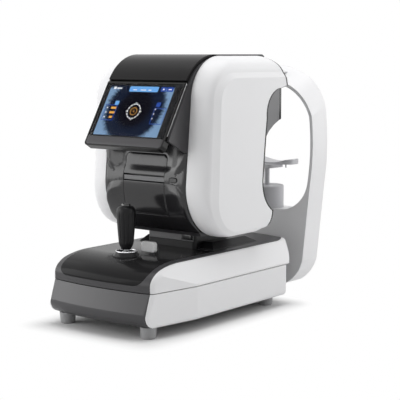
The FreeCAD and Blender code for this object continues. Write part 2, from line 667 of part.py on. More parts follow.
def corner_outline(x, front_low, front_high, top, bottom, radius_top, radius_low, rear):
    """Wire in an upright plane: open towards the rear, rounded corners, leaning front."""
    turn = 1 - math.sqrt(0.5)
    tall = radius_low * 1.4
    a, b = V(x, front_low + radius_low, bottom), V(x, front_low, bottom + tall)
    ab = V(x, front_low + radius_low * turn, bottom + tall * turn)
    c, d = V(x, front_high, top - radius_top), V(x, front_high + radius_top, top)
    cd = V(x, front_high + radius_top * turn, top - radius_top * turn)
    return Part.Wire([line(V(x, rear, bottom), a), arc(a, ab, b), line(b, c), arc(c, cd, d),
                      line(d, V(x, rear, top)), line(V(x, rear, top), V(x, rear, bottom))])


def cover_section(t, x, shrink):
    """Section of a side cover: t is 0 at the rim and 1 at the edge of the raised panel."""
    bulge = 1 - math.sqrt(1 - t * t)
    return corner_outline(x, -69 + 18 * bulge + shrink, -57 + 12 * bulge + shrink,
                          HEAD_TOP - 2.5 - 27 * bulge - shrink, COVER_LOW + 5 * bulge + shrink,
                          72 - 22 * bulge, 70 - 18 * bulge, 260)


def panel_section(x, inset, shrink):
    """Section of the raised panel of a side cover."""
    back = inset * 1.4 + shrink
    return corner_outline(x, back - 51, back - 45, HEAD_TOP - 29.5 - inset - shrink,
                          COVER_LOW + 5 + inset * 0.6 + shrink, 50 - inset, 52 - inset, 260)


def cover_form(shrink):
    """Solid form of the right side cover, before its patient-side cut."""
    start = CORE_HALF + PANEL_GAP
    bevel_x = COVER_HALF - BEVEL_HEIGHT - shrink
    steps = (0.0, 0.35, 0.65, 0.87, 1.0)
    sections = [cover_section(t, start + (bevel_x - start) * t, shrink) for t in steps]
    form = Part.makeLoft(sections, True, False)
    rims = [panel_section(bevel_x, 0, shrink), panel_section(COVER_HALF - shrink, PANEL_BEVEL, shrink)]
    panel = Part.makeLoft(rims, True, True)
    return form.fuse(panel)


def before_rear(grow):
    """Everything ahead of the head's patient-side edge, which is cut back in a C for the face."""
    g, t = grow, HEAD_TOP
    edges = [
        line(V(0, -FAR, FAR), V(0, 112 + g, FAR)),
        line(V(0, 112 + g, FAR), V(0, 112 + g, t + 1)),
        arc(V(0, 112 + g, t + 1), V(0, 140 + g, t - 23), V(0, 152 + g, t - 53)),
        line(V(0, 152 + g, t - 53), V(0, 135 + g, t - 56.5)),
        arc(V(0, 135 + g, t - 56.5), V(0, 104 + g, t - 71), V(0, 93 + g, t - 106)),
        curve([V(0, 93 + g, t - 106), V(0, 84.6 + g, t - 176), V(0, 81.5 + g, 231)]),
        arc(V(0, 81.5 + g, 231), V(0, 88 + g, 200), V(0, 111 + g, 176)),
        arc(V(0, 111 + g, 176), V(0, 106 + g, 160), V(0, 84 + g, 149)),
        line(V(0, 84 + g, 149), V(0, 48 + g, 139)),
        line(V(0, 48 + g, 139), V(0, 48 + g, 0)),
        line(V(0, 48 + g, 0), V(0, -FAR, 0)),
        line(V(0, -FAR, 0), V(0, -FAR, FAR)),
    ]
    return along_x(edges, FAR)


def display_pocket():
    """Room for the display between the cheeks of the centre body."""
    depth = DISPLAY_THICK + SLIDE_GAP
    top = GLASS_TOP + UP * 0.01
    inner = top - OUT * depth
    drop = (inner.y - CORE_FRONT) / math.sin(LEAN)
    low = inner - UP * drop
    outline = [top + OUT * 60, top, inner, low, V(0, CORE_FRONT, 0), V(0, -FAR, 0)]
    return along_x(polygon(outline), HOOD_HALF + SLIDE_GAP)


def cheek_zone(gap):
    """Where the cheeks are: outside the display and above the front panel's wide part."""
    inner, outer = HOOD_HALF + SLIDE_GAP - gap, CORE_HALF + 2
    return both_sides(box(inner, outer, -200, CORE_FRONT, CHEEK_Z - gap, HEAD_TOP))


def core_piece():
    """Black centre body: hollow, open below for the pedestal and in front for the printer."""
    radius = HOOD_RADIUS - HOOD_PROUD
    bed = roll(radius, 0)
    cheek_low = GLASS_LOW + UP * 17.5 - OUT * HOOD_PROUD
    chin = V(0, FRONT_AT_CHEEK, CHEEK_Z)
    rear_top = V(0, HEAD_REAR_TOP - 10, HEAD_TOP)
    ledge = V(0, HEAD_REAR_TOP, NOSE_TOP + 2)
    outline = [
        arc(bed, roll(radius, 0.5), roll(radius, 1)),
        line(roll(radius, 1), V(0, HOOD_CENTRE_Y, HEAD_TOP)),
        line(V(0, HOOD_CENTRE_Y, HEAD_TOP), rear_top),
        arc(rear_top, V(0, HEAD_REAR_TOP - 3, HEAD_TOP - 3), V(0, HEAD_REAR_TOP, HEAD_TOP - 10)),
        line(V(0, HEAD_REAR_TOP, HEAD_TOP - 10), ledge),
        line(ledge, V(0, REAR_START - PANEL_GAP, ledge.z)),
        line(V(0, REAR_START - PANEL_GAP, ledge.z), V(0, REAR_START - PANEL_GAP, CORE_BOTTOM)),
        line(V(0, REAR_START - PANEL_GAP, CORE_BOTTOM), V(0, -30, CORE_BOTTOM)),
        line(V(0, -30, CORE_BOTTOM), V(0, CORE_FRONT, 178)),
        line(V(0, CORE_FRONT, 178), V(0, CORE_FRONT, CHEEK_Z)),
        line(V(0, CORE_FRONT, CHEEK_Z), chin),
        line(chin, cheek_low),
        line(cheek_low, bed),
    ]
    core = along_x(outline, CORE_HALF).cut(display_pocket())
    room = box(WALL - CORE_HALF, CORE_HALF - WALL, CORE_FRONT + WALL, FAR, BAY_FLOOR + 7, NOSE_TOP - 14)
    room = room.fuse(box(WALL - CORE_HALF, CORE_HALF - WALL, -24, FAR, CORE_BOTTOM + WALL, BAY_FLOOR + 13))
    core = core.cut(room)
    gap = 2 * SLIDE_GAP
    core = core.cut(box(-PED_HALF - gap, PED_HALF + gap, PED_FRONT - gap, PED_REAR + 80, 0, CORE_BOTTOM + 20))
    core = core.cut(box(-BAY_HALF, BAY_HALF, -200, 0, BAY_FLOOR, LID_TOP - 18))
    core = core.cut(front_slab(-30, FRONT_THICK, CORE_HALF + 1).cut(cheek_zone(PANEL_GAP)))
    pin = rod(PIN_RADIUS, HINGE + V(HOOD_HALF - PIN_REACH + 1, 0, 0), HINGE + V(CORE_HALF - 1, 0, 0))
    return biggest(core).fuse(pin).fuse(mirrored(pin))


def rear_shell_piece():
    """Black patient-side shell that closes the head between the two side covers."""
    def filled(shrink, lip):
        side = cover_form(shrink)
        wide = CORE_HALF + PANEL_GAP + 1
        middle = box(-wide, wide, REAR_START, 260, CORE_BOTTOM - WALL + shrink, HEAD_TOP - 2.5 - shrink)
        form = side.fuse(mirrored(side)).fuse(middle)
        return form.common(before_rear(lip)).common(box(-FAR, FAR, REAR_START, FAR, 0, FAR))
    shell = filled(WALL + PANEL_GAP, REAR_LIP).cut(filled(2 * WALL, REAR_LIP - WALL))
    side = cover_form(LIP_SINK)
    rim = side.common(before_rear(REAR_LIP)).cut(before_rear(PANEL_GAP)).cut(cover_form(2 * WALL))
    shell = shell.fuse(both_sides(rim))
    top_room = box(-CORE_HALF - PANEL_GAP, CORE_HALF + PANEL_GAP, -FAR, FAR, NOSE_TOP + 1.5, FAR)
    neck_room = box(-PED_HALF - 1, PED_HALF + 1, -FAR, PED_REAR + 1, 0, CORE_BOTTOM + 20)
    nose_room = box(-NOSE_HALF + WALL, NOSE_HALF - WALL, 60, FAR, AXIS_Z - 30, NOSE_TOP - WALL)
    return biggest(shell.cut(top_room).cut(neck_room).cut(nose_room)), filled(WALL + PANEL_GAP, REAR_LIP)


def nose_bow(depth):
    """Prism behind the bowed front face of the nose, set back by a depth."""
    y = NOSE_FRONT - depth
    wide = NOSE_HALF + 5
    return face([line(V(-wide, 0, 0), V(wide, 0, 0)), line(V(wide, 0, 0), V(wide, y, 0)),
                 arc(V(wide, y, 0), V(0, y + NOSE_BULGE, 0), V(-wide, y, 0)),
                 line(V(-wide, y, 0), V(-wide, 0, 0))]).extrude(V(0, 0, FAR))


def nose_form(inset):
    """Solid of the nose shrunk by an inset, endless towards the patient."""
    beyond = NOSE_FRONT + 3 * NOSE_BULGE
    low = [(beyond, 331), (213, 325), (196, 317), (180, 306), (168, 292), (80, 292)]
    points = [V(0, 80, NOSE_TOP - inset), V(0, beyond, NOSE_TOP - inset)]
    points += [V(0, y, z + inset) for y, z in low]
    return along_x(polygon(points), NOSE_HALF - inset)


def nose_pieces(rear_filled):
    """Grey nose housing, black front panel with the measuring window, mire ring and lens barrel."""
    out = {}
    full = nose_form(0).common(nose_bow(0))
    full = rounded(full, NOSE_EDGE, lambda e: e.BoundBox.YMin > NOSE_FRONT - 1)
    back = nose_bow(NOSE_PANEL)
    housing = full.common(back).cut(nose_form(WALL)).cut(rear_filled)
    panel = full.cut(back)
    axis = lambda y: V(0, y, AXIS_Z)
    face_y = NOSE_FRONT + NOSE_BULGE
    panel = panel.cut(rod(MIRE_RADIUS, axis(NOSE_FRONT - 20), axis(face_y + 5)))
    out["nose_housing"] = biggest(housing)
    out["nose_panel"] = biggest(panel)
    ring_back = face_y - NOSE_PANEL
    ring = tube(MIRE_RADIUS - PANEL_GAP, WINDOW_RADIUS, axis(ring_back - 2), axis(face_y - 2.5))
    for radius in MIRE_GROOVES:
        ring = ring.cut(tube(radius + 0.8, radius - 0.8, axis(face_y - 3.5), axis(face_y)))
    out["mire_ring"] = ring
    out["window_glass"] = rod(WINDOW_RADIUS - RUN_FIT, axis(face_y - 6), axis(face_y - 4))
    out["lens_barrel"] = tube(BARREL_RADIUS, BARREL_RADIUS - 4, axis(NOSE_FRONT - 80), axis(ring_back - 2))
    return out


def head_pieces():
    """Side covers, centre body, patient-side shell, hood and lift bridge."""
    out = {}
    cover = cover_form(0).cut(cover_form(WALL)).common(before_rear(0))
    out["side_cover_right"] = biggest(cover)
    out["side_cover_left"] = mirrored(out["side_cover_right"])
    out["head_core"] = core_piece()
    shell, filled = rear_shell_piece()
    out["rear_shell"] = shell
    out.update(nose_pieces(filled))
    inner = HOOD_RADIUS - HOOD_PROUD
    out["hood"] = along_x([
        arc(roll(HOOD_RADIUS, 0), roll(HOOD_RADIUS, 0.5), roll(HOOD_RADIUS, 1)),
        line(roll(HOOD_RADIUS, 1), roll(inner, 1)),
        arc(roll(inner, 1), roll(inner, 0.5), roll(inner, 0)),
        line(roll(inner, 0), roll(HOOD_RADIUS, 0)),
    ], HOOD_HALF)
    reach = CORE_HALF - WALL
    bridge = box(-reach, reach, COLUMN_Y - 16, COLUMN_Y + 16, BRIDGE_Z, BRIDGE_Z + 12)
    for x in (-COLUMN_X, COLUMN_X):
        bridge = bridge.fuse(rod(12, V(x, COLUMN_Y, BRIDGE_Z - 10), V(x, COLUMN_Y, BRIDGE_Z + 22)))
    bridge = bridge.fuse(rod(10, V(0, COLUMN_Y, BRIDGE_Z - 6), V(0, COLUMN_Y, BRIDGE_Z + 18)))
    for x, radius in ((-COLUMN_X, COLUMN_RADIUS), (COLUMN_X, COLUMN_RADIUS), (0, SCREW_RADIUS)):
        bridge = bridge.cut(rod(radius + RUN_FIT, V(x, COLUMN_Y, 0), V(x, COLUMN_Y, FAR)))
    out["lift_bridge"] = bridge
    return out


# ---------------------------------------------------------------- front panel and printer
def front_curve(offset):
    """Points down the bulged front, from behind the display to the belly."""
    upper = [(-66, 316), (-70.5, 282), (-75, 250), (-76, 228), (-73.5, 208), (-66, 185), (-54, 166)]
    return [V(0, y + offset, z) for y, z in upper] + [V(0, -36 + offset * 0.7, 150)]


def front_slab(outer, inner, half):
    """Curved wall between two offsets of the front."""
    a, b = front_curve(outer), front_curve(inner)
    return along_x([curve(a), line(a[-1], b[-1]), curve(b), line(b[0], a[0])], half)


def band_zone(gap):
    """Waist band seen from the front: narrow in the middle, flaring to both ends."""
    low, high = BAND_LOW + gap, BAND_HIGH - gap
    x = CORE_HALF + 1
    pts = [(-x, low - 26), (-x + 4, low - 12), (-x + 16, low - 2.5), (-x + 34, low), (x - 34, low),
           (x - 16, low - 2.5), (x - 4, low - 12), (x, low - 26)]
    top = [(px, high + (low - pz)) for px, pz in reversed(pts)]
    lower = curve([V(px, -FAR, pz) for px, pz in pts])
    upper = curve([V(px, -FAR, pz) for px, pz in top])
    ends = [line(V(x, -FAR, pts[-1][1]), V(x, -FAR, top[0][1])),
            line(V(-x, -FAR, top[-1][1]), V(-x, -FAR, pts[0][1]))]
    return face([lower, upper] + ends).extrude(V(0, FAR, 0))


def rounded_plate(half, z0, z1, radius, test):
    """Block across the front with rounded corners where a test picks them."""
    plate = box(-half, half, -200, 0, z0, z1)
    return rounded(plate, radius, lambda e: e.BoundBox.YLength > 100 and test(e))


def button_form(grow, y0, y1):
    """Oval prism of the release button, grown all round."""
    radius = BUTTON_RADIUS + grow
    form = box(BUTTON_X - BUTTON_HALF, BUTTON_X + BUTTON_HALF, y0, y1, BUTTON_Z - radius, BUTTON_Z + radius)
    for x in (BUTTON_X - BUTTON_HALF, BUTTON_X + BUTTON_HALF):
        form = form.fuse(rod(radius, V(x, y0, BUTTON_Z), V(x, y1, BUTTON_Z)))
    return form.removeSplitter()


def front_body_pieces():
    """Front panel with two bulged pads, printer lid, door, slot bar, roll and release button."""
    out = {}
    skin = front_slab(0, FRONT_THICK, CORE_HALF)
    skin = skin.makeFillet(5.0, [e for e in skin.Edges if e.BoundBox.XLength < 0.01 and e.Length > 150
                                 and e.CenterOfMass.y < -63])
    recess = front_slab(-1, BAND_DEPTH, CORE_HALF + 2).common(band_zone(0))
    skin = skin.cut(recess).cut(cheek_zone(PANEL_GAP))
    at_top = lambda e: e.BoundBox.ZMin > LID_TOP - 1
    lid_zone = rounded_plate(PRINTER_HALF, BAND_HIGH, LID_TOP, LID_CORNER, at_top)
    slot_zone = box(-PRINTER_HALF, PRINTER_HALF, -200, 0, BAND_LOW, BAND_HIGH)
    g = PANEL_GAP
    lid_hole = rounded_plate(PRINTER_HALF + g, BAND_HIGH, LID_TOP + g, LID_CORNER + g, at_top)
    door_hole = box(-PRINTER_HALF - SLIDE_GAP, PRINTER_HALF + SLIDE_GAP, -200, 0, DOOR_PIVOT_Z, BAND_LOW)
    pivot = V(0, DOOR_PIVOT_Y, DOOR_PIVOT_Z)
    across = V(PRINTER_HALF, 0, 0)
    stub = V(PRINTER_HALF + 2.5, 0, 0)
    room_reach, stub_reach = across + V(SLIDE_GAP, 0, 0), stub + V(1, 0, 0)
    knuckle_room = rod(DOOR_KNUCKLE + SLIDE_GAP, pivot - room_reach, pivot + room_reach)
    stub_room = rod(DOOR_STUB + RUN_FIT, pivot - stub_reach, pivot + stub_reach)
    door_hole = door_hole.fuse(knuckle_room).fuse(stub_room)
    skin = skin.cut(lid_hole).cut(door_hole).cut(slot_zone)
    out["front_panel"] = biggest(skin.cut(button_form(SLIDE_GAP, -200, 0)))
    lid = front_slab(0, LID_THICK, CORE_HALF).common(lid_zone)
    out["printer_lid"] = lid
    door = front_slab(0, LID_THICK, CORE_HALF).common(
        box(-PRINTER_HALF, PRINTER_HALF, -200, 0, DOOR_PIVOT_Z, BAND_LOW - PANEL_GAP))
    door = door.fuse(rod(DOOR_KNUCKLE, pivot - across, pivot + across))
    out["printer_door"] = door.fuse(rod(DOOR_STUB, pivot - stub, pivot + stub))
    bar = front_slab(BAND_DEPTH, FRONT_THICK, CORE_HALF).common(
        box(g - PRINTER_HALF, PRINTER_HALF - g, -200, 0, BAND_LOW + 1.5, BAND_HIGH - 2.5))
    out["paper_slot_bar"] = bar
    roll_at = lambda x: V(x, CORE_FRONT + 24, BAY_FLOOR + ROLL_RADIUS)
    out["paper_roll"] = tube(ROLL_RADIUS, 6, roll_at(-ROLL_WIDTH / 2), roll_at(ROLL_WIDTH / 2))
    out["printer_mechanism"] = box(-BAY_HALF, BAY_HALF, CORE_FRONT - 5, CORE_FRONT + 27,
                                   BAND_LOW + 2, LID_TOP - 24)
    out["printer_release"] = button_form(0, BUTTON_FRONT, BUTTON_FRONT + 8).fuse(
        button_form(2, BUTTON_FRONT + 6.5, BUTTON_FRONT + 8))
    return out


# ---------------------------------------------------------------- display
def display_slab(half, length0, length1, depth0, depth1):
    """Block in the display's own axes: along it from its lower edge, and in from its face."""
    a = GLASS_LOW + UP * length0 - OUT * depth0
    b = GLASS_LOW + UP * length1 - OUT * depth0
    c = GLASS_LOW + UP * length1 - OUT * depth1
    d = GLASS_LOW + UP * length0 - OUT * depth1
    return along_x(polygon([a, b, c, d]), half)


def display_pieces():
    """Display housing with a rolled top edge, glass, screen and hinge pins."""
    out = {}
    top = DISPLAY_LENGTH - HINGE_DROP
    housing = display_slab(HOOD_HALF, 0, top, 0, DISPLAY_THICK)
    housing = housing.fuse(rod(DISPLAY_THICK / 2, HINGE - V(HOOD_HALF, 0, 0), HINGE + V(HOOD_HALF, 0, 0)))
    housing = housing.removeSplitter()
    low_corner = lambda e: e.BoundBox.XLength < 0.01 and (e.CenterOfMass - GLASS_LOW).dot(UP) < 0.01
    housing = rounded(housing, DISPLAY_CORNER, low_corner)
    pane = display_slab(HOOD_HALF - GLASS_MARGIN, GLASS_MARGIN, top - 0.5, -1, GLASS_THICK)
    screen_top = LCD_LOW_MARGIN + LCD_LENGTH
    well = display_slab(LCD_HALF, LCD_LOW_MARGIN, screen_top, 0, GLASS_THICK + LCD_THICK)
    out["display_housing"] = housing.cut(pane).cut(well).cut(
        rod(PIN_RADIUS + RUN_FIT, HINGE - V(100, 0, 0), HINGE - V(HOOD_HALF - PIN_REACH, 0, 0))).cut(
        rod(PIN_RADIUS + RUN_FIT, HINGE + V(HOOD_HALF - PIN_REACH, 0, 0), HINGE + V(100, 0, 0)))
    g = PANEL_GAP / 2
    out["display_glass"] = display_slab(HOOD_HALF - GLASS_MARGIN - g, GLASS_MARGIN + g, top - 0.5 - g,
                                        0, GLASS_THICK)
    out["lcd_panel"] = display_slab(LCD_HALF - g, LCD_LOW_MARGIN + g, screen_top - g, GLASS_THICK,
                                    GLASS_THICK + LCD_THICK)
    return out


# ---------------------------------------------------------------- face rest and chin rest
def blend(front, rear, slant):
    """Value between the front face (slant 0) and the rear face (slant 1) of the arch."""
    return front + (rear - front) * slant


def crown_points(y, wall, slant):
    """Points over the crown of the arch, from the flank to the middle."""
    w = wall
    side = V(114.5 - w, y, 272)
    start = V(blend(111.5, 110, slant) - w, y, blend(330, 345, slant) - w * 0.3)
    middle = V(blend(92, 88, slant) - w * 0.8, y, blend(363, 387, slant) - w * 0.6)
    end = V(blend(52, 47, slant) - w * 0.4, y, blend(389, 413, slant) - w * 0.95)
    top = V(0, y, blend(396.5, 422, slant) - w)
    return side, start, middle, end, top


def closed_symmetric(right, middle):
    """Wire from edges on the right, their mirror images and the edges across the middle."""
    left = [e.mirror(V(0, 0, 0), X_AXIS) for e in right]
    return Part.Wire(Part.__sortEdges__(right + left + middle))


def arch_wire(y, wall, slant):
    """Outline of the arch in one upright plane, shrunk by a wall."""
    w = wall
    side, start, middle, end, top = crown_points(y, w, slant)
    foot = V(60 - w * 0.6, y, ARCH_FOOT_Z + w)
    low = V(94.5 - w, y, 64)
    high = V(109.5 - w, y, 207)
    right = [arc(foot, V(84 - w * 0.8, y, 41 + w * 0.5), low), line(low, high), arc(high, side, start),
             arc(start, middle, end)]
    across = [arc(end, top, V(-end.x, y, end.z)), line(V(-foot.x, y, foot.z), foot)]
    return closed_symmetric(right, across)


def hole_wire(y, wall, slant):
    """Outline of the face opening in one upright plane."""
    side, start, middle, end, top = crown_points(y, wall, slant)
    low = V(48, y, HOLE_LOW_Z)
    high = V(103.5, y, 207)
    right = [arc(low, V(84.5, y, 171.5), high), arc(high, side, start), arc(start, middle, end)]
    across = [arc(end, top, V(-end.x, y, end.z)), line(V(-low.x, y, low.z), low)]
    return closed_symmetric(right, across)


def hole_form(wall):
    """Solid that fills the face opening and stands out at both faces."""
    over = 1.0 / (ARCH_REAR - ARCH_FRONT)
    return Part.makeLoft([hole_wire(ARCH_FRONT - 1, wall, -over), hole_wire(ARCH_REAR + 1, wall, 1 + over)],
                         True, True)


def arch_pieces():
    """Face-rest arch, its rear cover, forehead pad and the bracket that joins it to the base."""
    out = {}
    body = Part.makeLoft([arch_wire(ARCH_FRONT, 0, 0), arch_wire(ARCH_REAR, 0, 1)], True, True)
    arch = body.cut(hole_form(ARCH_WALL))
    below = box(-FAR, FAR, ARCH_FRONT + WALL, ARCH_REAR + 1, 0, HOLE_LOW_Z - 5)
    room = Part.Face(arch_wire(ARCH_FRONT + WALL, WALL + 1, 0)).extrude(V(0, 100, 0)).common(below)
    post_hole = rod(CHIN_POST_RADIUS + 1, V(0, CHIN_Y, HOLE_LOW_Z - 10), V(0, CHIN_Y, HOLE_LOW_Z + 5))
    out["arch"] = arch.cut(room).cut(post_hole)
    fit = box(-FAR, FAR, ARCH_REAR - WALL, ARCH_REAR, 0, HOLE_LOW_Z - 5 - PANEL_GAP)
    out["arch_rear_cover"] = Part.Face(
        arch_wire(ARCH_REAR - WALL, WALL + 1 + PANEL_GAP, 0)).extrude(V(0, WALL, 0)).common(fit)
    pad = hole_form(ARCH_WALL).cut(hole_form(ARCH_WALL + FOREHEAD_THICK))
    pad = pad.common(box(-FOREHEAD_HALF, FOREHEAD_HALF, ARCH_FRONT + 8, ARCH_REAR - 3, 340, 440))
    out["forehead_pad"] = biggest(pad)
    beam = box(-BRACKET_HALF, BRACKET_HALF, BASE_REAR, ARCH_FRONT, BRACKET_LOW, BRACKET_HIGH)
    beam = rounded(beam, 4, lambda e: e.BoundBox.YLength > 50)
    beam = beam.cut(box(4 - BRACKET_HALF, BRACKET_HALF - 4, BASE_REAR - 1, ARCH_FRONT + 1, BRACKET_LOW + 4,
                        BRACKET_HIGH - 4))
    out["arch_bracket"] = beam
    return out


def chin_pieces():
    """Chin-rest housing, its moving post and arm, the cup and the paper pins."""
    out = {}
    at = lambda z: V(0, CHIN_Y, z)
    housing = rod(CHIN_HOUSING_RADIUS, at(HOLE_LOW_Z), at(CHIN_HOUSING_TOP))
    housing = rounded(housing, 3, lambda e: e.BoundBox.ZMin > CHIN_HOUSING_TOP - 1)
    bore = rod(CHIN_POST_RADIUS + RUN_FIT, at(0), at(FAR))
    out["chinrest_housing"] = housing.cut(bore)
    cup = box(-CUP_HALF, CUP_HALF, CUP_Y - CUP_DEPTH / 2, CUP_Y + CUP_DEPTH / 2, CUP_TOP - CUP_THICK, CUP_TOP)
    cup = rounded(cup, 18, upright)
    radius = (CUP_HALF ** 2 * 0.64 + CUP_DISH ** 2) / (2 * CUP_DISH)
    axis_z = CUP_TOP + radius - CUP_DISH
    dish = rod(radius, V(0, 0, axis_z), V(0, FAR, axis_z))
    out["chin_cup"] = cup.cut(dish)
    post = rod(CHIN_POST_RADIUS, at(CHIN_POST_LOW_Z), at(ARM_LOW_Z))
    arm_top = CUP_TOP - CUP_THICK
    arm = box(-16, 16, CHIN_Y - 10, CUP_Y + 8, ARM_LOW_Z, arm_top)
    out["chinrest_post"] = post.fuse(rounded(arm, 8, upright)).removeSplitter()
    out["paper_pins"] = both_sides(rod(1.5, V(PAPER_PIN_X, CUP_Y - 6, arm_top - 7),
                                       V(PAPER_PIN_X, CUP_Y - 6, arm_top)))
    return out


def mains_pieces(housing):
    """Mains inlet and rocker switch in the rear wall of the base; returns the housing cut to take them."""
    out = {}
    rear = BASE_REAR
    inlet = box(INLET_X - 13.5, INLET_X + 13.5, rear - 22, rear, INLET_Z - 10, INLET_Z + 10)
    flange = box(INLET_X - 15.5, INLET_X + 15.5, rear, rear + 1.5, INLET_Z - 12.5, INLET_Z + 12.5)
    housing = housing.cut(inlet)
    inlet = inlet.fuse(flange).removeSplitter()
    inlet = inlet.cut(box(INLET_X - 11, INLET_X + 11, rear - 16, rear + 5, INLET_Z - 7, INLET_Z + 7))
    for dx, dz in ((-7, -2), (0, 2), (7, -2)):
        x, z = INLET_X + dx, INLET_Z + dz
        inlet = inlet.fuse(box(x - 1, x + 1, rear - 16, rear - 2, z - 2, z + 2))
    # the switch: a square bezel that is part of the rear wall's cut-out, and a rocker on a cross pin
    frame = box(SWITCH_X - 9, SWITCH_X + 9, rear - 12, rear, INLET_Z - 12, INLET_Z + 12)
    housing = housing.cut(frame)
    bezel = box(SWITCH_X - 10.5, SWITCH_X + 10.5, rear, rear + 1.5, INLET_Z - 13.5, INLET_Z + 13.5)
    well = box(SWITCH_X - 7, SWITCH_X + 7, rear - 10, rear + 5, INLET_Z - 10, INLET_Z + 10)
    frame = frame.fuse(bezel).removeSplitter().cut(well)
    pivot = V(SWITCH_X, rear - 5, INLET_Z)
    frame = frame.cut(rod(1 + RUN_FIT, pivot - V(8.3, 0, 0), pivot + V(8.3, 0, 0)))
    out["mains_fittings"] = Part.makeCompound(inlet.Solids + frame.Solids)
    drum = rod(10.5, pivot + V(-6.5, -4.5, 0), pivot + V(6.5, -4.5, 0))
    rocker = drum.common(box(SWITCH_X - 20, SWITCH_X + 20, rear - 7, rear + 20, INLET_Z - 8.5, INLET_Z + 8.5))
    dish = rod(30, pivot + V(-10, 34.5, 0), pivot + V(10, 34.5, 0))
    rocker = rocker.cut(dish)
    rocker = rocker.fuse(rod(1, pivot - V(8, 0, 0), pivot + V(8, 0, 0)))
    rocker.rotate(pivot, X_AXIS, -SWITCH_TURN / 2)
    out["power_switch"] = rocker
    return out, housing


def base_screws():
    """Countersunk screws that hold the base housing's floor to its posts."""
    screws = []
    for x in POST_X:
        for y in POST_Y:
            foot = V(x, y, FOOT_HEIGHT)
            head = Part.makeCone(SCREW_HEAD, 1.5, SCREW_HEAD - 1.5, foot)
            screws.append(head.fuse(rod(1.5, foot, foot + V(0, 0, 14))).removeSplitter().cut(
                box(x - 0.4, x + 0.4, y - 2, y + 2, FOOT_HEIGHT - 1, FOOT_HEIGHT + 0.8)))
    return {"base_screws": Part.makeCompound(screws)}


def place_all(pieces):
    """Move every piece so that the origin is the centre of the footprint."""
    low = BASE_FRONT - FRONT_LEAN
    high = CUP_Y + CUP_DEPTH / 2
    shift = V(0, -(low + high) / 2, 0)
    for shape in pieces.values():
        shape.translate(shift)


def build():
    """Make every piece and write its STEP file."""
    os.makedirs("parts", exist_ok=True)
    pieces, plate_top = base_pieces()
    racks, axle_z, axle_r, bearing_x = rack_pieces(plate_top)
    pieces.update(racks)
    stage, stage_top = stage_pieces(plate_top, axle_z, axle_r, bearing_x)
    pieces.update(stage)
    pieces.update(pedestal_pieces(stage_top))
    pieces.update(joystick_pieces())
    pieces.update(head_pieces())
    pieces.update(front_body_pieces())
    pieces.update(display_pieces())
    pieces.update(arch_pieces())
    pieces.update(chin_pieces())
    mains, pieces["base_housing"] = mains_pieces(pieces["base_housing"])
    pieces.update(mains)
    screws = base_screws()
    pieces["base_housing"] = biggest(pieces["base_housing"].cut(screws["base_screws"]))
    pieces.update(screws)
    place_all(pieces)
    for name, shape in pieces.items():
        shape.exportStep("parts/" + name + ".step")
        print(name, len(shape.Solids), round(shape.Volume), shape.isValid())


build()
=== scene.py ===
"""Looks of a table-top autorefractor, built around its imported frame."""

import json
import logging
import math
from dataclasses import dataclass, field, replace
from enum import Enum
from typing import Callable, Iterable, Sequence

import bmesh
import bpy
from mathutils import Matrix, Vector
from mathutils.geometry import delaunay_2d_cdt

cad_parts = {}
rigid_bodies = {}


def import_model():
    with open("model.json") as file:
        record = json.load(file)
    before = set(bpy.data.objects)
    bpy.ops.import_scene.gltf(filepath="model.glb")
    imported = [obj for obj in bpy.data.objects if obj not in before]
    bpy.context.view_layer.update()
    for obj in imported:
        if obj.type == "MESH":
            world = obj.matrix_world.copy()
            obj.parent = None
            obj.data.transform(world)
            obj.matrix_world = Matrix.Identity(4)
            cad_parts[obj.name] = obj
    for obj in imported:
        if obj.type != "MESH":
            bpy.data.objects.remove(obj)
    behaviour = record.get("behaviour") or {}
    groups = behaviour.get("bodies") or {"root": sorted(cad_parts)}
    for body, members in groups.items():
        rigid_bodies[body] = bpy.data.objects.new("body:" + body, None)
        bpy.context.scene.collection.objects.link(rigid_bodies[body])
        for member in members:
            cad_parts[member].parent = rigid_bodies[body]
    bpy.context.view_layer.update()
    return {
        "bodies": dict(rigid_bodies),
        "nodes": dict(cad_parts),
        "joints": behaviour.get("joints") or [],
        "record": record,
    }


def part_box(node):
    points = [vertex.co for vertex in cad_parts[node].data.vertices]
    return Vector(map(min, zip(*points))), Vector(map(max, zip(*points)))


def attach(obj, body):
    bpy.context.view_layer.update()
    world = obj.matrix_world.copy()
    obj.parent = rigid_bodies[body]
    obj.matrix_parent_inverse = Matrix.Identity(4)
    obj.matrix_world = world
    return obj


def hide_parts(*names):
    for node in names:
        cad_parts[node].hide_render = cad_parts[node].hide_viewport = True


LOG = logging.getLogger("autorefractor")
Colour = tuple[float, float, float]
Flat = tuple[float, float]
Place = tuple[float, float, float]
Socket = bpy.types.NodeSocket

MOTTLE_SCALE = 14.0                      # scale of the slow change of shade
DUST_COLOUR: Colour = (0.60, 0.59, 0.57)
DUST_SLOPE: Flat = (0.5, 1.0)            # upward part of the normal at which dust starts and is full
DUST_CLOUD: Flat = (0.35, 0.75)          # noise at which dust starts and is full
COAT_ROUGHNESS = 0.04
MOTTLE_ROUGHNESS = 0.5                   # share of the mottle that goes into the roughness
DUST_ROUGHNESS = 0.6                     # roughness that full dust adds
GRID_CLEAR = 0.45                        # share of a plate's step that its grid keeps from the rim
ROW_NEAR = 0.4                           # share of a plate's step within which a row stands for the grid
ROW_CLEAR = 1.6                          # share of a plate's edge radius that its rows keep from the rim


class Body(Enum):
    """The moving bodies that new pieces ride on."""

    BASE = "base"
    STAGE = "stage"
    SCREW = "screw"
    GRIP = "grip"
    BUTTON = "button"
    HEAD = "head"
    DOOR = "door"
    DISPLAY = "display"


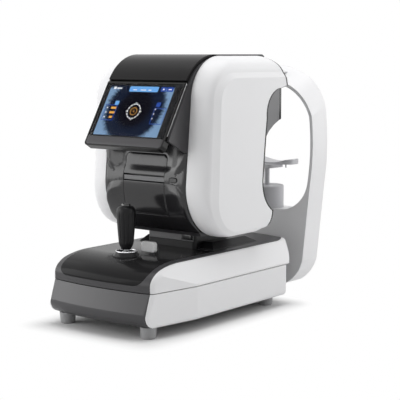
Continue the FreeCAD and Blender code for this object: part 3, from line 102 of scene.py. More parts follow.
class Slot(Enum):
    """The record's material slots."""

    WHITE_SHELL = "white_shell"
    WHITE_BASE = "white_base"
    LIGHT_GREY = "light_grey"
    DARK_GLOSS = "dark_gloss"
    DARK_SATIN = "dark_satin"
    DARK_GREY = "dark_grey"
    STRIP_GREY = "strip_grey"
    STEEL = "steel"
    ZINC = "zinc_plate"
    PAINT = "painted_frame"
    ALUMINIUM = "aluminium"
    BRASS = "brass"
    CHROME = "chrome"
    RUBBER = "rubber"
    GRIP = "grip_rubber"
    PAPER = "paper"
    PAD = "pad"
    BLACK = "black_plastic"
    MIRE = "mire"
    LCD = "lcd"
    DISPLAY_GLASS = "display_glass"
    WINDOW_GLASS = "window_glass"


# ---------------------------------------------------------------- node helpers
class Wiring:
    """A shader or geometry node tree with short calls for adding and wiring nodes."""

    def __init__(self, tree: bpy.types.NodeTree) -> None:
        """Wrap a tree.

        Args:
            tree: the material's, the group's or the modifier's node tree.
        """
        self.tree = tree

    def add(self, kind: str, inputs: dict[str | int, object] | None = None,
            **settings: object) -> bpy.types.Node:
        """Add a node, set its properties, and set or link its inputs.

        Args:
            kind: the node's type name.
            inputs: values or sockets by input name or number.
            **settings: properties of the node.

        Returns:
            The new node.
        """
        node = self.tree.nodes.new(kind)
        for key, value in settings.items():
            setattr(node, key, value)
        for key, value in (inputs or {}).items():
            self.feed(node.inputs[key], value)
        return node

    def feed(self, socket: Socket, value: object) -> None:
        """Link a socket to an input, or set its value.

        Args:
            socket: the input.
            value: an output socket, a number or a tuple.
        """
        if isinstance(value, bpy.types.NodeSocket):
            self.tree.links.new(value, socket)
        else:
            socket.default_value = value

    def math(self, operation: str, a: object, b: object = 0.0, c: object = 0.0,
             clamp: bool = False) -> Socket:
        """Add a Math node.

        Args:
            operation: its operation.
            a: first input.
            b: second input.
            c: third input.
            clamp: keep the result between 0 and 1.

        Returns:
            The result socket.
        """
        node = self.add("ShaderNodeMath", {0: a, 1: b, 2: c}, operation=operation, use_clamp=clamp)
        return node.outputs[0]

    def blend(self, factor: object, a: object, b: object) -> Socket:
        """Mix two colours.

        Args:
            factor: 0 gives a and 1 gives b.
            a: first colour.
            b: second colour.

        Returns:
            The mixed colour.
        """
        node = self.add("ShaderNodeMix", {"Factor": factor}, data_type="RGBA")
        self.feed(node.inputs[6], a)
        self.feed(node.inputs[7], b)
        return node.outputs[2]

    def ramp(self, value: object, low: float, high: float) -> Socket:
        """Smooth step of a value from 0 at low to 1 at high.

        Args:
            value: the value.
            low: where the step starts.
            high: where it ends.

        Returns:
            The stepped value.
        """
        node = self.add("ShaderNodeMapRange", {"Value": value, "From Min": low, "From Max": high},
                        interpolation_type="SMOOTHSTEP")
        return node.outputs[0]

    def place(self) -> Socket:
        """The piece's own object coordinates."""
        return self.add("ShaderNodeTexCoord").outputs["Object"]


def rgba(colour: Colour) -> tuple[float, float, float, float]:
    """Colour with full alpha."""
    return (*colour, 1.0)


def shader_group(name: str, inputs: dict[str, float], outputs: Sequence[str],
                 build: Callable[[Wiring, dict[str, Socket]], dict[str, Socket]]) -> bpy.types.NodeTree:
    """Build a shader node group once.

    Args:
        name: the group's name.
        inputs: its number inputs and their values.
        outputs: its number outputs.
        build: fills the group and returns what feeds each output.

    Returns:
        The group.
    """
    if name in bpy.data.node_groups:
        return bpy.data.node_groups[name]
    tree = bpy.data.node_groups.new(name, "ShaderNodeTree")
    for key, value in inputs.items():
        tree.interface.new_socket(key, in_out="INPUT", socket_type="NodeSocketFloat").default_value = value
    for key in outputs:
        tree.interface.new_socket(key, in_out="OUTPUT", socket_type="NodeSocketFloat")
    shader = Wiring(tree)
    source = shader.add("NodeGroupInput")
    sink = shader.add("NodeGroupOutput")
    for key, socket in build(shader, {k: source.outputs[k] for k in inputs}).items():
        tree.links.new(socket, sink.inputs[key])
    return tree


def grain_group() -> bpy.types.NodeTree:
    """Fine moulding grain: Height for bump, and Mottle, a slow change of shade round 0.

    Returns:
        The shader group.
    """
    def build(shader: Wiring, given: dict[str, Socket]) -> dict[str, Socket]:
        """Fill the group.

        Args:
            shader: the group's tree.
            given: its input sockets by name.

        Returns:
            What feeds each output.
        """
        place = shader.place()
        fine = shader.add("ShaderNodeTexNoise", {"Vector": place, "Scale": given["Scale"], "Detail": 3.0})
        slow = shader.add("ShaderNodeTexNoise", {"Vector": place, "Scale": MOTTLE_SCALE, "Detail": 2.0})
        mottle = shader.math("MULTIPLY", shader.math("SUBTRACT", slow.outputs[0], 0.5), given["Mottle"])
        return {"Height": fine.outputs[0], "Mottle": mottle}
    return shader_group("moulding grain", {"Scale": 1800.0, "Mottle": 0.1}, ("Height", "Mottle"), build)


def dust_group() -> bpy.types.NodeTree:
    """Thin dust that lies on faces that look up.

    Returns:
        The shader group.
    """
    def build(shader: Wiring, given: dict[str, Socket]) -> dict[str, Socket]:
        """Fill the group.

        Args:
            shader: the group's tree.
            given: its input sockets by name.

        Returns:
            What feeds each output.
        """
        normal = shader.add("ShaderNodeNewGeometry").outputs["Normal"]
        up = shader.add("ShaderNodeSeparateXYZ", {0: normal}).outputs[2]
        cloud = shader.add("ShaderNodeTexNoise", {"Vector": shader.place(), "Scale": given["Scale"],
                                                  "Detail": 6.0})
        lying = shader.ramp(up, *DUST_SLOPE)
        mask = shader.math("MULTIPLY", lying, shader.ramp(cloud.outputs[0], *DUST_CLOUD))
        return {"Mask": shader.math("MULTIPLY", mask, given["Amount"])}
    return shader_group("settled dust", {"Scale": 60.0, "Amount": 0.05}, ("Mask",), build)


# ---------------------------------------------------------------- finishes
@dataclass(frozen=True)
class Finish:
    """A surface finish, whose material is built once.

    Grain is the height of its fine bumps, mottle how far its shade changes, and edge the radius to which its
    sharp edges are softened.
    """

    name: str
    colour: Colour
    roughness: float = 0.4
    metallic: float = 0.0
    coat: float = 0.0
    specular: float = 0.5
    grain: float = 0.00001
    grain_scale: float = 1800.0
    mottle: float = 0.06
    dust: float = 0.02
    edge: float = 0.0007

    def material(self) -> bpy.types.Material:
        """Find the finish's material, or build it.

        Returns:
            The material.
        """
        if self.name in bpy.data.materials:
            return bpy.data.materials[self.name]
        material = bpy.data.materials.new(self.name)
        material.use_nodes = True
        self.dress(Wiring(material.node_tree), material.node_tree.nodes["Principled BSDF"])
        return material

    def dress(self, shader: Wiring, surface: bpy.types.Node) -> None:
        """Wire the finish into its surface shader.

        Args:
            shader: the material's tree.
            surface: its Principled shader.
        """
        grain = shader.add("ShaderNodeGroup", node_tree=grain_group())
        grain.inputs["Scale"].default_value = self.grain_scale
        grain.inputs["Mottle"].default_value = self.mottle
        dust = shader.add("ShaderNodeGroup", node_tree=dust_group())
        dust.inputs["Amount"].default_value = self.dust
        deep = tuple(c * (1 - self.mottle) for c in self.colour)
        light = tuple(min(1.0, c * (1 + self.mottle)) for c in self.colour)
        shade = shader.math("ADD", grain.outputs["Mottle"], 0.5, clamp=True)
        tone = shader.blend(shade, rgba(deep), rgba(light))
        shader.feed(surface.inputs["Base Color"], shader.blend(dust.outputs["Mask"], tone, rgba(DUST_COLOUR)))
        change = shader.math("MULTIPLY", grain.outputs["Mottle"], MOTTLE_ROUGHNESS)
        dulled = shader.math("MULTIPLY", dust.outputs["Mask"], DUST_ROUGHNESS)
        rough = shader.math("ADD", shader.math("ADD", change, self.roughness), dulled, clamp=True)
        shader.feed(surface.inputs["Roughness"], rough)
        surface.inputs["Metallic"].default_value = self.metallic
        surface.inputs["Coat Weight"].default_value = self.coat
        surface.inputs["Coat Roughness"].default_value = COAT_ROUGHNESS
        surface.inputs["Specular IOR Level"].default_value = self.specular
        soft = shader.add("ShaderNodeBevel", {"Radius": self.edge}, samples=6)
        bump = shader.add("ShaderNodeBump", {"Height": grain.outputs["Height"], "Distance": self.grain,
                                             "Strength": 1.0, "Normal": soft.outputs[0]})
        shader.feed(surface.inputs["Normal"], bump.outputs[0])


@dataclass(frozen=True)
class ClearGlass(Finish):
    """Thin clear glass with an anti-reflection layer, which its low index stands for."""

    index: float = 1.08
    smear_scale: float = 25.0
    smears: Flat = (0.4, 0.8)

    def dress(self, shader: Wiring, surface: bpy.types.Node) -> None:
        """Wire a plain clear glass with faint smears in its gloss.

        Args:
            shader: the material's tree.
            surface: its Principled shader.
        """
        smear = shader.add("ShaderNodeTexNoise", {"Vector": shader.place(), "Scale": self.smear_scale,
                                                  "Detail": 4.0})
        rough = shader.math("MULTIPLY", shader.ramp(smear.outputs[0], *self.smears), self.roughness)
        shader.feed(surface.inputs["Roughness"], rough)
        surface.inputs["Base Color"].default_value = rgba(self.colour)
        surface.inputs["Transmission Weight"].default_value = 1.0
        surface.inputs["Specular IOR Level"].default_value = self.specular
        surface.inputs["IOR"].default_value = self.index


@dataclass(frozen=True)
class Glow(Finish):
    """A lit mark on the screen, with the faint grain of its dots."""

    dot_scale: float = 3000.0
    dots: Flat = (0.9, 0.2)
    dim: float = 0.85

    def dress(self, shader: Wiring, surface: bpy.types.Node) -> None:
        """Wire the lit colour.

        Args:
            shader: the material's tree.
            surface: its Principled shader.
        """
        dots = shader.add("ShaderNodeTexVoronoi", {"Vector": shader.place(), "Scale": self.dot_scale})
        level = shader.ramp(dots.outputs["Distance"], *self.dots)
        dim = tuple(c * self.dim for c in self.colour)
        shader.feed(surface.inputs["Emission Color"], shader.blend(level, rgba(dim), rgba(self.colour)))
        surface.inputs["Emission Strength"].default_value = 1.0
        surface.inputs["Base Color"].default_value = (0, 0, 0, 1)
        surface.inputs["Specular IOR Level"].default_value = 0.0


@dataclass(frozen=True)
class EyePicture(Finish):
    """The screen's live picture of an eye: dark pupil, streaked iris, pale blue outside.

    Each edge is a pair of distances from the middle, between which one tone passes into the next.
    """

    centre: Place = (0.0, 0.0, 0.0)
    turn: float = 0.0
    half_width: float = 0.069
    half_height: float = 0.047
    stretch: float = 1.45
    pupil_edge: Flat = (0.42, 0.60)
    iris_edge: Flat = (0.80, 0.98)
    lid_edge: Flat = (0.60, 0.50)
    wander: float = 0.25
    spokes: Flat = (6.0, 1.5)
    pupil: Colour = (0.002, 0.002, 0.005)
    iris: Colour = (0.006, 0.010, 0.026)
    white: Colour = (0.19, 0.31, 0.48)

    def dress(self, shader: Wiring, surface: bpy.types.Node) -> None:
        """Wire the picture, drawn in the screen's own plane.

        Args:
            shader: the material's tree.
            surface: its Principled shader.
        """
        flat = shader.add("ShaderNodeMapping", {"Vector": shader.place(), "Location": self.centre,
                                                "Rotation": (self.turn, 0, 0)}, vector_type="TEXTURE")
        part = shader.add("ShaderNodeSeparateXYZ", {0: flat.outputs[0]})
        across = shader.math("DIVIDE", part.outputs[0], self.half_width)
        along = shader.math("DIVIDE", part.outputs[1], self.half_height * self.stretch)
        far = shader.math("SQRT", shader.math("ADD", shader.math("MULTIPLY", across, across),
                                              shader.math("MULTIPLY", along, along)))
        angle = shader.math("ARCTAN2", across, along)
        spoke = shader.add("ShaderNodeCombineXYZ", {0: shader.math("MULTIPLY", angle, self.spokes[0]),
                                                    1: shader.math("MULTIPLY", far, self.spokes[1])})
        streak = shader.add("ShaderNodeTexNoise", {"Vector": spoke.outputs[0], "Scale": 4.0, "Detail": 5.0})
        wander = shader.math("MULTIPLY", shader.math("SUBTRACT", streak.outputs[0], 0.5), self.wander)
        edge = shader.math("ADD", far, wander)
        inner = shader.blend(shader.ramp(edge, *self.pupil_edge), rgba(self.pupil), rgba(self.iris))
        outer = shader.blend(shader.ramp(edge, *self.iris_edge), inner, rgba(self.white))
        dark_top = shader.blend(shader.ramp(along, *self.lid_edge), rgba(self.iris), outer)
        shader.feed(surface.inputs["Emission Color"], dark_top)
        surface.inputs["Emission Strength"].default_value = 1.0
        surface.inputs["Base Color"].default_value = (0, 0, 0, 1)
        surface.inputs["Specular IOR Level"].default_value = 0.0


WHITE = Finish("white satin shell", (0.80, 0.80, 0.81), 0.36, specular=0.35, grain=0.000006, mottle=0.02,
               dust=0.0)
WHITE_BASE = replace(WHITE, name="white base shell", colour=(0.78, 0.78, 0.79), roughness=0.34)
# A whiter copy of the shell's white, as painted light: it makes up for the light that the arch's front lacks
# in the head's shade.
WHITE_ARCH_LIGHTENED = replace(WHITE, name="white arch shell", colour=(0.83, 0.83, 0.84))
PALE_GREY = Finish("pale grey moulding", (0.52, 0.52, 0.54), 0.42, mottle=0.03, dust=0.0)
NOSE_GREY = Finish("grey nose moulding", (0.15, 0.15, 0.155), 0.4, mottle=0.03, dust=0.0)
# Whiter than the shells, as painted light: it makes up for the light that the lever lacks in the shade of the
# grip and the head.
LEVER_LIGHTENED_WHITE = Finish("white lever moulding", (0.95, 0.95, 0.95), 0.3, mottle=0.02, dust=0.0)
FOOT_GREY = Finish("light grey rubber foot", (0.30, 0.30, 0.305), 0.55, grain=0.00003, grain_scale=900.0,
                   mottle=0.08)
BLACK_GLOSS = Finish("black gloss cover", (0.010, 0.010, 0.011), 0.13, specular=0.4, grain=0.0, mottle=0.05,
                     dust=0.0)
DECK_GLOSS = Finish("black gloss deck", (0.017, 0.0167, 0.0173), 0.14, specular=0.06, grain=0.0, dust=0.0)
# Metal for the display's side strips, which stand in for the highlight on its rounded side edges: a painted
# highlight.
GLINT_METAL = Finish("polished trim", (0.75, 0.75, 0.76), 0.25, metallic=1.0, grain=0.0, mottle=0.02, dust=0.0)
BORDER_INK = Finish("black border ink", (0.004, 0.004, 0.005), 0.3, specular=0.08, grain=0.0, dust=0.0)
STAGE_DARK = Finish("dark stage cover", (0.050, 0.049, 0.052), 0.32, specular=0.25, grain=0.000005, dust=0.0)
CORE_SATIN = Finish("dark grey satin body", (0.042, 0.041, 0.044), 0.30, specular=0.3, grain=0.000006,
                    dust=0.0)
BASE_DARK = Finish("dark base cover", (0.040, 0.039, 0.042), 0.33, specular=0.42, grain=0.000005, dust=0.0)
DARK_SATIN = Finish("near-black satin cover", (0.012, 0.012, 0.013), 0.33, specular=0.22, grain=0.000006,
                    mottle=0.08, dust=0.0)
HOOD_SATIN = Finish("black satin hood", (0.016, 0.0155, 0.016), 0.28, specular=0.09, grain=0.000006, dust=0.0,
                    edge=0.0012)
BEZEL_SATIN = Finish("black display bezel", (0.008, 0.008, 0.008), 0.22, specular=0.2, grain=0.000004,
                     dust=0.0, edge=0.0014)
# Lighter than the black bezel, as painted light: the lit look of the display's lower edge is put into the
# sill's colour.
SILL_LIT_GREY = Finish("grey display sill", (0.045, 0.0435, 0.047), 0.33, specular=0.3, mottle=0.05, dust=0.0)
PANEL_GREY = Finish("dark grey gloss panel", (0.016, 0.0155, 0.017), 0.17, coat=0.08, specular=0.45,
                    grain=0.000003, mottle=0.05, dust=0.0)
SLOT_GREY = Finish("grey paper slot bar", (0.10, 0.10, 0.105), 0.35, mottle=0.04, dust=0.0)
STRIP_GREY = Finish("grey strip", (0.12, 0.12, 0.125), 0.38, dust=0.0)
SOFT_GRIP = Finish("soft black grip", (0.008, 0.008, 0.009), 0.36, specular=0.2, grain=0.00002,
                   grain_scale=1200.0, mottle=0.1, dust=0.0)
BLACK_PLASTIC = Finish("black plastic", (0.02, 0.02, 0.02), 0.35, mottle=0.08, dust=0.0)
BUTTON_BLACK = Finish("polished black button", (0.012, 0.012, 0.012), 0.1, coat=0.6, grain=0.0, dust=0.0)
STEEL = Finish("ground steel", (0.56, 0.57, 0.58), 0.26, metallic=1.0, grain=0.000004, grain_scale=4000.0)
ZINC = Finish("zinc-plated sheet", (0.45, 0.46, 0.46), 0.42, metallic=1.0, grain_scale=300.0, mottle=0.25)
ALUMINIUM = Finish("machined aluminium", (0.66, 0.67, 0.68), 0.34, metallic=1.0, grain=0.000004,
                   grain_scale=2500.0)
BRASS = Finish("machined brass", (0.62, 0.46, 0.20), 0.28, metallic=1.0)
CHROME = Finish("bright chrome", (0.78, 0.78, 0.80), 0.06, metallic=1.0, grain=0.0, mottle=0.02, dust=0.0)
BRACKET_PAINT = Finish("grey powder paint", (0.16, 0.16, 0.165), 0.5, grain=0.00004, grain_scale=700.0,
                       mottle=0.1)
PAPER = Finish("thermal paper", (0.86, 0.86, 0.84), 0.7, grain=0.000004, mottle=0.02, dust=0.0)
PAD = Finish("soft silicone pad", (0.60, 0.60, 0.61), 0.55, grain=0.00003, grain_scale=900.0, mottle=0.05,
             dust=0.0)
FROSTED = Finish("frosted light ring", (0.62, 0.63, 0.66), 0.3, mottle=0.03, dust=0.0)
LENS_BLACK = Finish("dark measuring window", (0.006, 0.007, 0.010), 0.05, coat=1.0, grain=0.0, dust=0.0)
SCREEN_GLASS = ClearGlass("clear screen glass", (1.0, 1.0, 1.0), 0.06, specular=0.08)
MARK_WHITE = Glow("white screen mark", (0.90, 0.92, 0.95))
MARK_ORANGE = Glow("orange screen mark", (0.85, 0.42, 0.08))
MARK_BLUE = Glow("blue screen mark", (0.16, 0.42, 0.85))
MARK_NAVY = Glow("dark blue screen mark", (0.03, 0.08, 0.38))

SLOT_LOOKS: dict[Slot, Finish] = {
    Slot.WHITE_SHELL: WHITE, Slot.WHITE_BASE: WHITE_BASE, Slot.LIGHT_GREY: PALE_GREY,
    Slot.DARK_GLOSS: BLACK_GLOSS, Slot.DARK_SATIN: DARK_SATIN, Slot.DARK_GREY: PANEL_GREY,
    Slot.STRIP_GREY: STRIP_GREY, Slot.STEEL: STEEL, Slot.ZINC: ZINC, Slot.PAINT: BRACKET_PAINT,
    Slot.ALUMINIUM: ALUMINIUM, Slot.BRASS: BRASS, Slot.CHROME: CHROME, Slot.RUBBER: FOOT_GREY,
    Slot.GRIP: SOFT_GRIP, Slot.PAPER: PAPER, Slot.PAD: PAD, Slot.BLACK: BLACK_PLASTIC, Slot.MIRE: FROSTED,
    Slot.LCD: BLACK_GLOSS, Slot.DISPLAY_GLASS: BLACK_GLOSS, Slot.WINDOW_GLASS: LENS_BLACK,
}
NODE_LOOKS: dict[str, Finish] = {
    "base_housing": BASE_DARK, "stage_cover": STAGE_DARK, "deck_panel": DECK_GLOSS, "hood": HOOD_SATIN,
    "head_core": CORE_SATIN, "nose_housing": NOSE_GREY, "arch": WHITE_ARCH_LIGHTENED,
    "display_housing": BEZEL_SATIN, "paper_slot_bar": SLOT_GREY, "lock_lever": LEVER_LIGHTENED_WHITE,
    "joystick_button": BUTTON_BLACK,
}


# ---------------------------------------------------------------- mesh helpers
def new_piece(name: str, mesh: bpy.types.Mesh, finish: Finish | None = None,
              sharp: float = 35.0) -> bpy.types.Object:
    """Put a mesh into the scene as a smooth-shaded piece.

    Args:
        name: the piece's name.
        mesh: its mesh, in the shared frame.
        finish: its finish, or None where the mesh already has one.
        sharp: the angle in degrees from which an edge stays sharp.

    Returns:
        The piece.
    """
    mesh.name = name
    if finish is not None:
        mesh.materials.clear()
        mesh.materials.append(finish.material())
    mesh.shade_smooth()
    mesh.set_sharp_from_angle(angle=math.radians(sharp))
    piece = bpy.data.objects.new(name, mesh)
    bpy.context.collection.objects.link(piece)
    return piece


def mesh_of(form: bmesh.types.BMesh) -> bpy.types.Mesh:
    """Turn an editable mesh into a mesh whose faces point outwards.

    Args:
        form: the editable mesh, which is freed.

    Returns:
        The mesh.
    """
    bmesh.ops.recalc_face_normals(form, faces=form.faces)
    mesh = bpy.data.meshes.new("form")
    form.to_mesh(mesh)
    form.free()
    return mesh


def join_meshes(name: str, meshes: Iterable[bpy.types.Mesh], finish: Finish) -> bpy.types.Object:
    """Join closed meshes into one piece.

    Args:
        name: the piece's name.
        meshes: the meshes.
        finish: the piece's finish.

    Returns:
        The piece.
    """
    form = bmesh.new()
    for mesh in meshes:
        form.from_mesh(mesh)
        bpy.data.meshes.remove(mesh)
    return new_piece(name, mesh_of(form), finish)


def smooth_curve(points: Sequence[Flat], at: float) -> float:
    """Height of a smooth curve through points, level with its neighbours at each of them.

    Args:
        points: places and heights, in rising order of place.
        at: the place that is asked for.

    Returns:
        The height there.
    """
    places = [p for p, _ in points]
    heights = [h for _, h in points]
    at = min(max(at, places[0]), places[-1])
    k = max(i for i in range(len(points) - 1) if places[i] <= at)

    def slope(i: int) -> float:
        """Slope of the curve at a point, from its neighbours."""
        before, after = max(i - 1, 0), min(i + 1, len(points) - 1)
        return (heights[after] - heights[before]) / (places[after] - places[before])

    span = places[k + 1] - places[k]
    t = (at - places[k]) / span
    rise = heights[k + 1] - heights[k]
    a = slope(k) * span - rise
    b = rise - slope(k + 1) * span
    return heights[k] + rise * t + t * (1 - t) * (a * (1 - t) + b * t)


def round_box(x0: float, x1: float, z0: float, z1: float, low: float = 0.0, high: float = 0.0,
              steps: int = 6) -> list[Flat]:
    """Rectangle outline, anticlockwise, with rounded lower and upper corners.

    Args:
        x0: left side.
        x1: right side.
        z0: lower side.
        z1: upper side.
        low: radius of the lower corners.
        high: radius of the upper corners.
        steps: points along each rounded corner.

    Returns:
        The outline.
    """
    corners = [(x1 - low, z0 + low, low, 270), (x1 - high, z1 - high, high, 0),
               (x0 + high, z1 - high, high, 90), (x0 + low, z0 + low, low, 180)]
    outline = []
    for x, z, radius, start in corners:
        for i in range(steps + 1 if radius > 0 else 1):
            angle = math.radians(start + 90 * i / steps)
            outline.append((x + radius * math.cos(angle), z + radius * math.sin(angle)))
    return outline


def fine(outline: Sequence[Flat], step: float) -> list[Flat]:
    """Divide a closed outline's long sides.

    Args:
        outline: the outline.
        step: the longest side that is left.

    Returns:
        The divided outline.
    """
    out: list[Flat] = []
    for (ax, az), (bx, bz) in zip(outline, list(outline[1:]) + [outline[0]]):
        count = max(1, math.ceil(math.dist((ax, az), (bx, bz)) / step))
        out += [(ax + (bx - ax) * i / count, az + (bz - az) * i / count) for i in range(count)]
    return out


def inset(outline: Sequence[Flat], distance: float) -> list[Flat]:
    """Move a closed outline to its left by a distance.

    Args:
        outline: the outline.
        distance: how far it moves.

    Returns:
        The moved outline.
    """
    out = []
    count = len(outline)
    for i, (x, z) in enumerate(outline):
        (px, pz), (nx, nz) = outline[i - 1], outline[(i + 1) % count]
        first = Vector((pz - z, x - px)).normalized()
        second = Vector((z - nz, nx - x)).normalized()
        shift = (first + second) * (distance / max(0.3, 1 + first.dot(second)))
        out.append((x + shift.x, z + shift.y))
    return out


def inside(outline: Sequence[Flat], x: float, z: float, margin: float) -> bool:
    """Whether a place is inside an outline and clear of it.

    Args:
        outline: the outline.
        x: place across.
        z: place up.
        margin: how far it has to be from every side.

    Returns:
        True if it is.
    """
    within = False
    for (ax, az), (bx, bz) in zip(outline, list(outline[1:]) + [outline[0]]):
        if (az > z) != (bz > z) and x < (bx - ax) * (z - az) / (bz - az) + ax:
            within = not within
        long = (bx - ax) ** 2 + (bz - az) ** 2
        t = min(1.0, max(0.0, ((x - ax) * (bx - ax) + (z - az) * (bz - az)) / long)) if long else 0.0
        if (x - ax - t * (bx - ax)) ** 2 + (z - az - t * (bz - az)) ** 2 < margin * margin:
            return False
    return within


@dataclass
class Plate:
    """A closed plate over a curved surface, with any outline, holes and rounded edges.

    The surface is a function of place across, place up and depth below the surface.
    """

    surface: Callable[[float, float, float], Vector]
    outline: list[Flat]
    wall: float
    edge: float = 0.0005
    step: float = 0.004
    holes: list[list[Flat]] = field(default_factory=list)
    rows: list[Flat] = field(default_factory=list)

    def mesh(self) -> bpy.types.Mesh:
        """Build the plate.

        Returns:
            Its mesh.
        """
        loops = [fine(self.outline, self.step)]
        loops += [list(reversed(fine(hole, self.step))) for hole in self.holes]
        form = bmesh.new()
        front: list[tuple[Flat, bmesh.types.BMVert, bmesh.types.BMVert]] = []
        sides: list[Flat] = []
        for loop in loops:
            start = len(front)
            front += self.rim(form, loop)
            sides += [(start + i, start + (i + 1) % len(loop)) for i in range(len(loop))]
        places = [place for place, _, _ in front] + self.inner_places(loops)
        result = delaunay_2d_cdt([Vector(p) for p in places], sides, [], 0, 1e-9)
        flats, faces, origins = result[0], result[2], result[3]
        tops, backs = [], []
        for flat, origin in zip(flats, origins):
            known = next((o for o in origin if o < len(front)), None)
            if known is not None:
                tops.append(front[known][1])
                backs.append(front[known][2])
            else:
                tops.append(form.verts.new(self.surface(flat[0], flat[1], 0.0)))
                backs.append(form.verts.new(self.surface(flat[0], flat[1], self.wall)))
        rims = [inset(loop, self.edge) for loop in loops]
        for face in faces:
            middle = [sum(flats[i][k] for i in face) / len(face) for k in (0, 1)]
            if not inside(rims[0], *middle, 0.0) or any(inside(rim, *middle, 0.0) for rim in rims[1:]):
                continue
            form.faces.new([tops[i] for i in face])
            form.faces.new([backs[i] for i in reversed(face)])
        loose = [v for v in form.verts if not v.link_faces]
        bmesh.ops.delete(form, geom=loose, context="VERTS")
        return mesh_of(form)

    def rim(self, form: bmesh.types.BMesh, loop: list[Flat]) -> list[tuple]:
        """Build the side wall and the rounded edge along one loop.

        Args:
            form: the editable mesh.
            loop: the loop, with the plate on its left.

        Returns:
            For each point of the innermost ring: its place, its front vertex and its back vertex.
        """
        turns = [math.radians(a) for a in (0, 30, 60, 90)]
        profile = [(self.edge, self.wall), (0.0, self.wall)]
        profile += [(self.edge * (1 - math.cos(a)), self.edge * (1 - math.sin(a))) for a in turns]
        rings = []
        for distance, depth in profile:
            moved = inset(loop, distance)
            rings.append([form.verts.new(self.surface(x, z, depth)) for x, z in moved])
        for lower, upper in zip(rings, rings[1:]):
            for i in range(len(loop)):
                j = (i + 1) % len(loop)
                form.faces.new((lower[i], lower[j], upper[j], upper[i]))
        return list(zip(inset(loop, self.edge), rings[-1], rings[0]))

    def inner_places(self, loops: list[list[Flat]]) -> list[Flat]:
        """Places inside the plate on a regular grid and along the extra rows.

        Args:
            loops: the outline and the holes.

        Returns:
            The places.
        """
        xs, zs = [x for x, _ in loops[0]], [z for _, z in loops[0]]
        grid = [(min(xs) + self.step * i, min(zs) + self.step * j)
                for i in range(1, int((max(xs) - min(xs)) / self.step) + 1)
                for j in range(1, int((max(zs) - min(zs)) / self.step) + 1)]
        margin = self.edge + self.step * GRID_CLEAR
        kept = [p for p in grid if self.clear(loops, p, margin)]
        if self.rows:
            near = ROW_NEAR * self.step
            cells = {(round(x / near), round(z / near)) for x, z in self.rows}
            kept = [p for p in kept if (round(p[0] / near), round(p[1] / near)) not in cells]
        return kept + [p for p in self.rows if self.clear(loops, p, self.edge * ROW_CLEAR)]

    @staticmethod
    def clear(loops: list[list[Flat]], place: Flat, margin: float) -> bool:
        """Whether a place is in the outline, out of the holes, and clear of both.

        Args:
            loops: the outline and the holes.
            place: the place.
            margin: how far it has to be from them.

        Returns:
            True if it is.
        """
        if not inside(loops[0], *place, margin):
            return False
        for hole in loops[1:]:
            if inside(hole, *place, 0.0):
                return False
            if any(math.dist(place, p) < margin for p in hole):
                return False
        return True


def turned_mesh(profile: Sequence[Flat], steps: int, centre: Vector,
                reach: Callable[[float, float, float], float] | None = None) -> bpy.types.Mesh:
    """Turn a closed profile about an upright axis.

    Args:
        profile: radius and height of each point, in order round the section.
        steps: divisions of the turn.
        centre: a point on the axis, at height 0.
        reach: changes a radius by its radius, height and angle.

    Returns:
        The mesh.
    """
    form = bmesh.new()
    rings = []
    for radius, height in profile:
        ring = []
        for i in range(steps):
            angle = 2 * math.pi * i / steps
            far = reach(radius, height, angle) if reach else radius
            out = Vector((far * math.cos(angle), far * math.sin(angle), height))
            ring.append(form.verts.new(centre + out))
        rings.append(ring)
    for k, ring in enumerate(rings):
        following = rings[(k + 1) % len(rings)]
        for i in range(steps):
            j = (i + 1) % steps
            form.faces.new((ring[i], ring[j], following[j], following[i]))
    bmesh.ops.remove_doubles(form, verts=form.verts, dist=1e-7)
    return mesh_of(form)


# ---------------------------------------------------------------- geometry node helpers
def geometry_tree(name: str, inputs: dict[str, tuple[str, object]],
                  build: Callable[[Wiring, dict[str, Socket]], Socket]) -> bpy.types.NodeTree:
    """Build a Geometry Nodes tree once. It ends in Realize Instances and Set Material.

    Args:
        name: the tree's name.
        inputs: socket type and value by input name.
        build: fills the tree and returns the geometry.

    Returns:
        The tree.
    """
    if name in bpy.data.node_groups:
        return bpy.data.node_groups[name]
    tree = bpy.data.node_groups.new(name, "GeometryNodeTree")
    tree.interface.new_socket("Geometry", in_out="INPUT", socket_type="NodeSocketGeometry")
    for key, (kind, value) in inputs.items():
        tree.interface.new_socket(key, in_out="INPUT", socket_type=kind).default_value = value
    tree.interface.new_socket("Material", in_out="INPUT", socket_type="NodeSocketMaterial")
    tree.interface.new_socket("Geometry", in_out="OUTPUT", socket_type="NodeSocketGeometry")
    wiring = Wiring(tree)
    source = wiring.add("NodeGroupInput")
    shape = build(wiring, {item.name: item for item in source.outputs if item.name})
    real = wiring.add("GeometryNodeRealizeInstances", {0: shape})
    done = wiring.add("GeometryNodeSetMaterial", {"Geometry": real.outputs[0],
                                                  "Material": source.outputs["Material"]})
    sink = wiring.add("NodeGroupOutput")
    tree.links.new(done.outputs[0], sink.inputs[0])
    return tree


def grown_mesh(tree: bpy.types.NodeTree, values: dict[str, object], finish: Finish,
               seeds: Sequence[Vector] = ()) -> bpy.types.Mesh:
    """Run a Geometry Nodes tree and keep its result as a plain mesh.

    Args:
        tree: the tree.
        values: its inputs by name.
        finish: the material that it sets.
        seeds: points that it starts from.

    Returns:
        The mesh.
    """
    start = bpy.data.meshes.new("seeds")
    start.from_pydata([tuple(seed) for seed in seeds], [], [])
    holder = bpy.data.objects.new("seeds", start)
    bpy.context.collection.objects.link(holder)
    modifier = holder.modifiers.new("grow", "NODES")
    modifier.node_group = tree
    given = {**values, "Material": finish.material()}
    for item in tree.interface.items_tree:
        if item.item_type == "SOCKET" and item.in_out == "INPUT" and item.name in given:
            modifier[item.identifier] = given[item.name]
    graph = bpy.context.evaluated_depsgraph_get()
    mesh = bpy.data.meshes.new_from_object(holder.evaluated_get(graph))
    bpy.data.objects.remove(holder)
    bpy.data.meshes.remove(start)
    return mesh


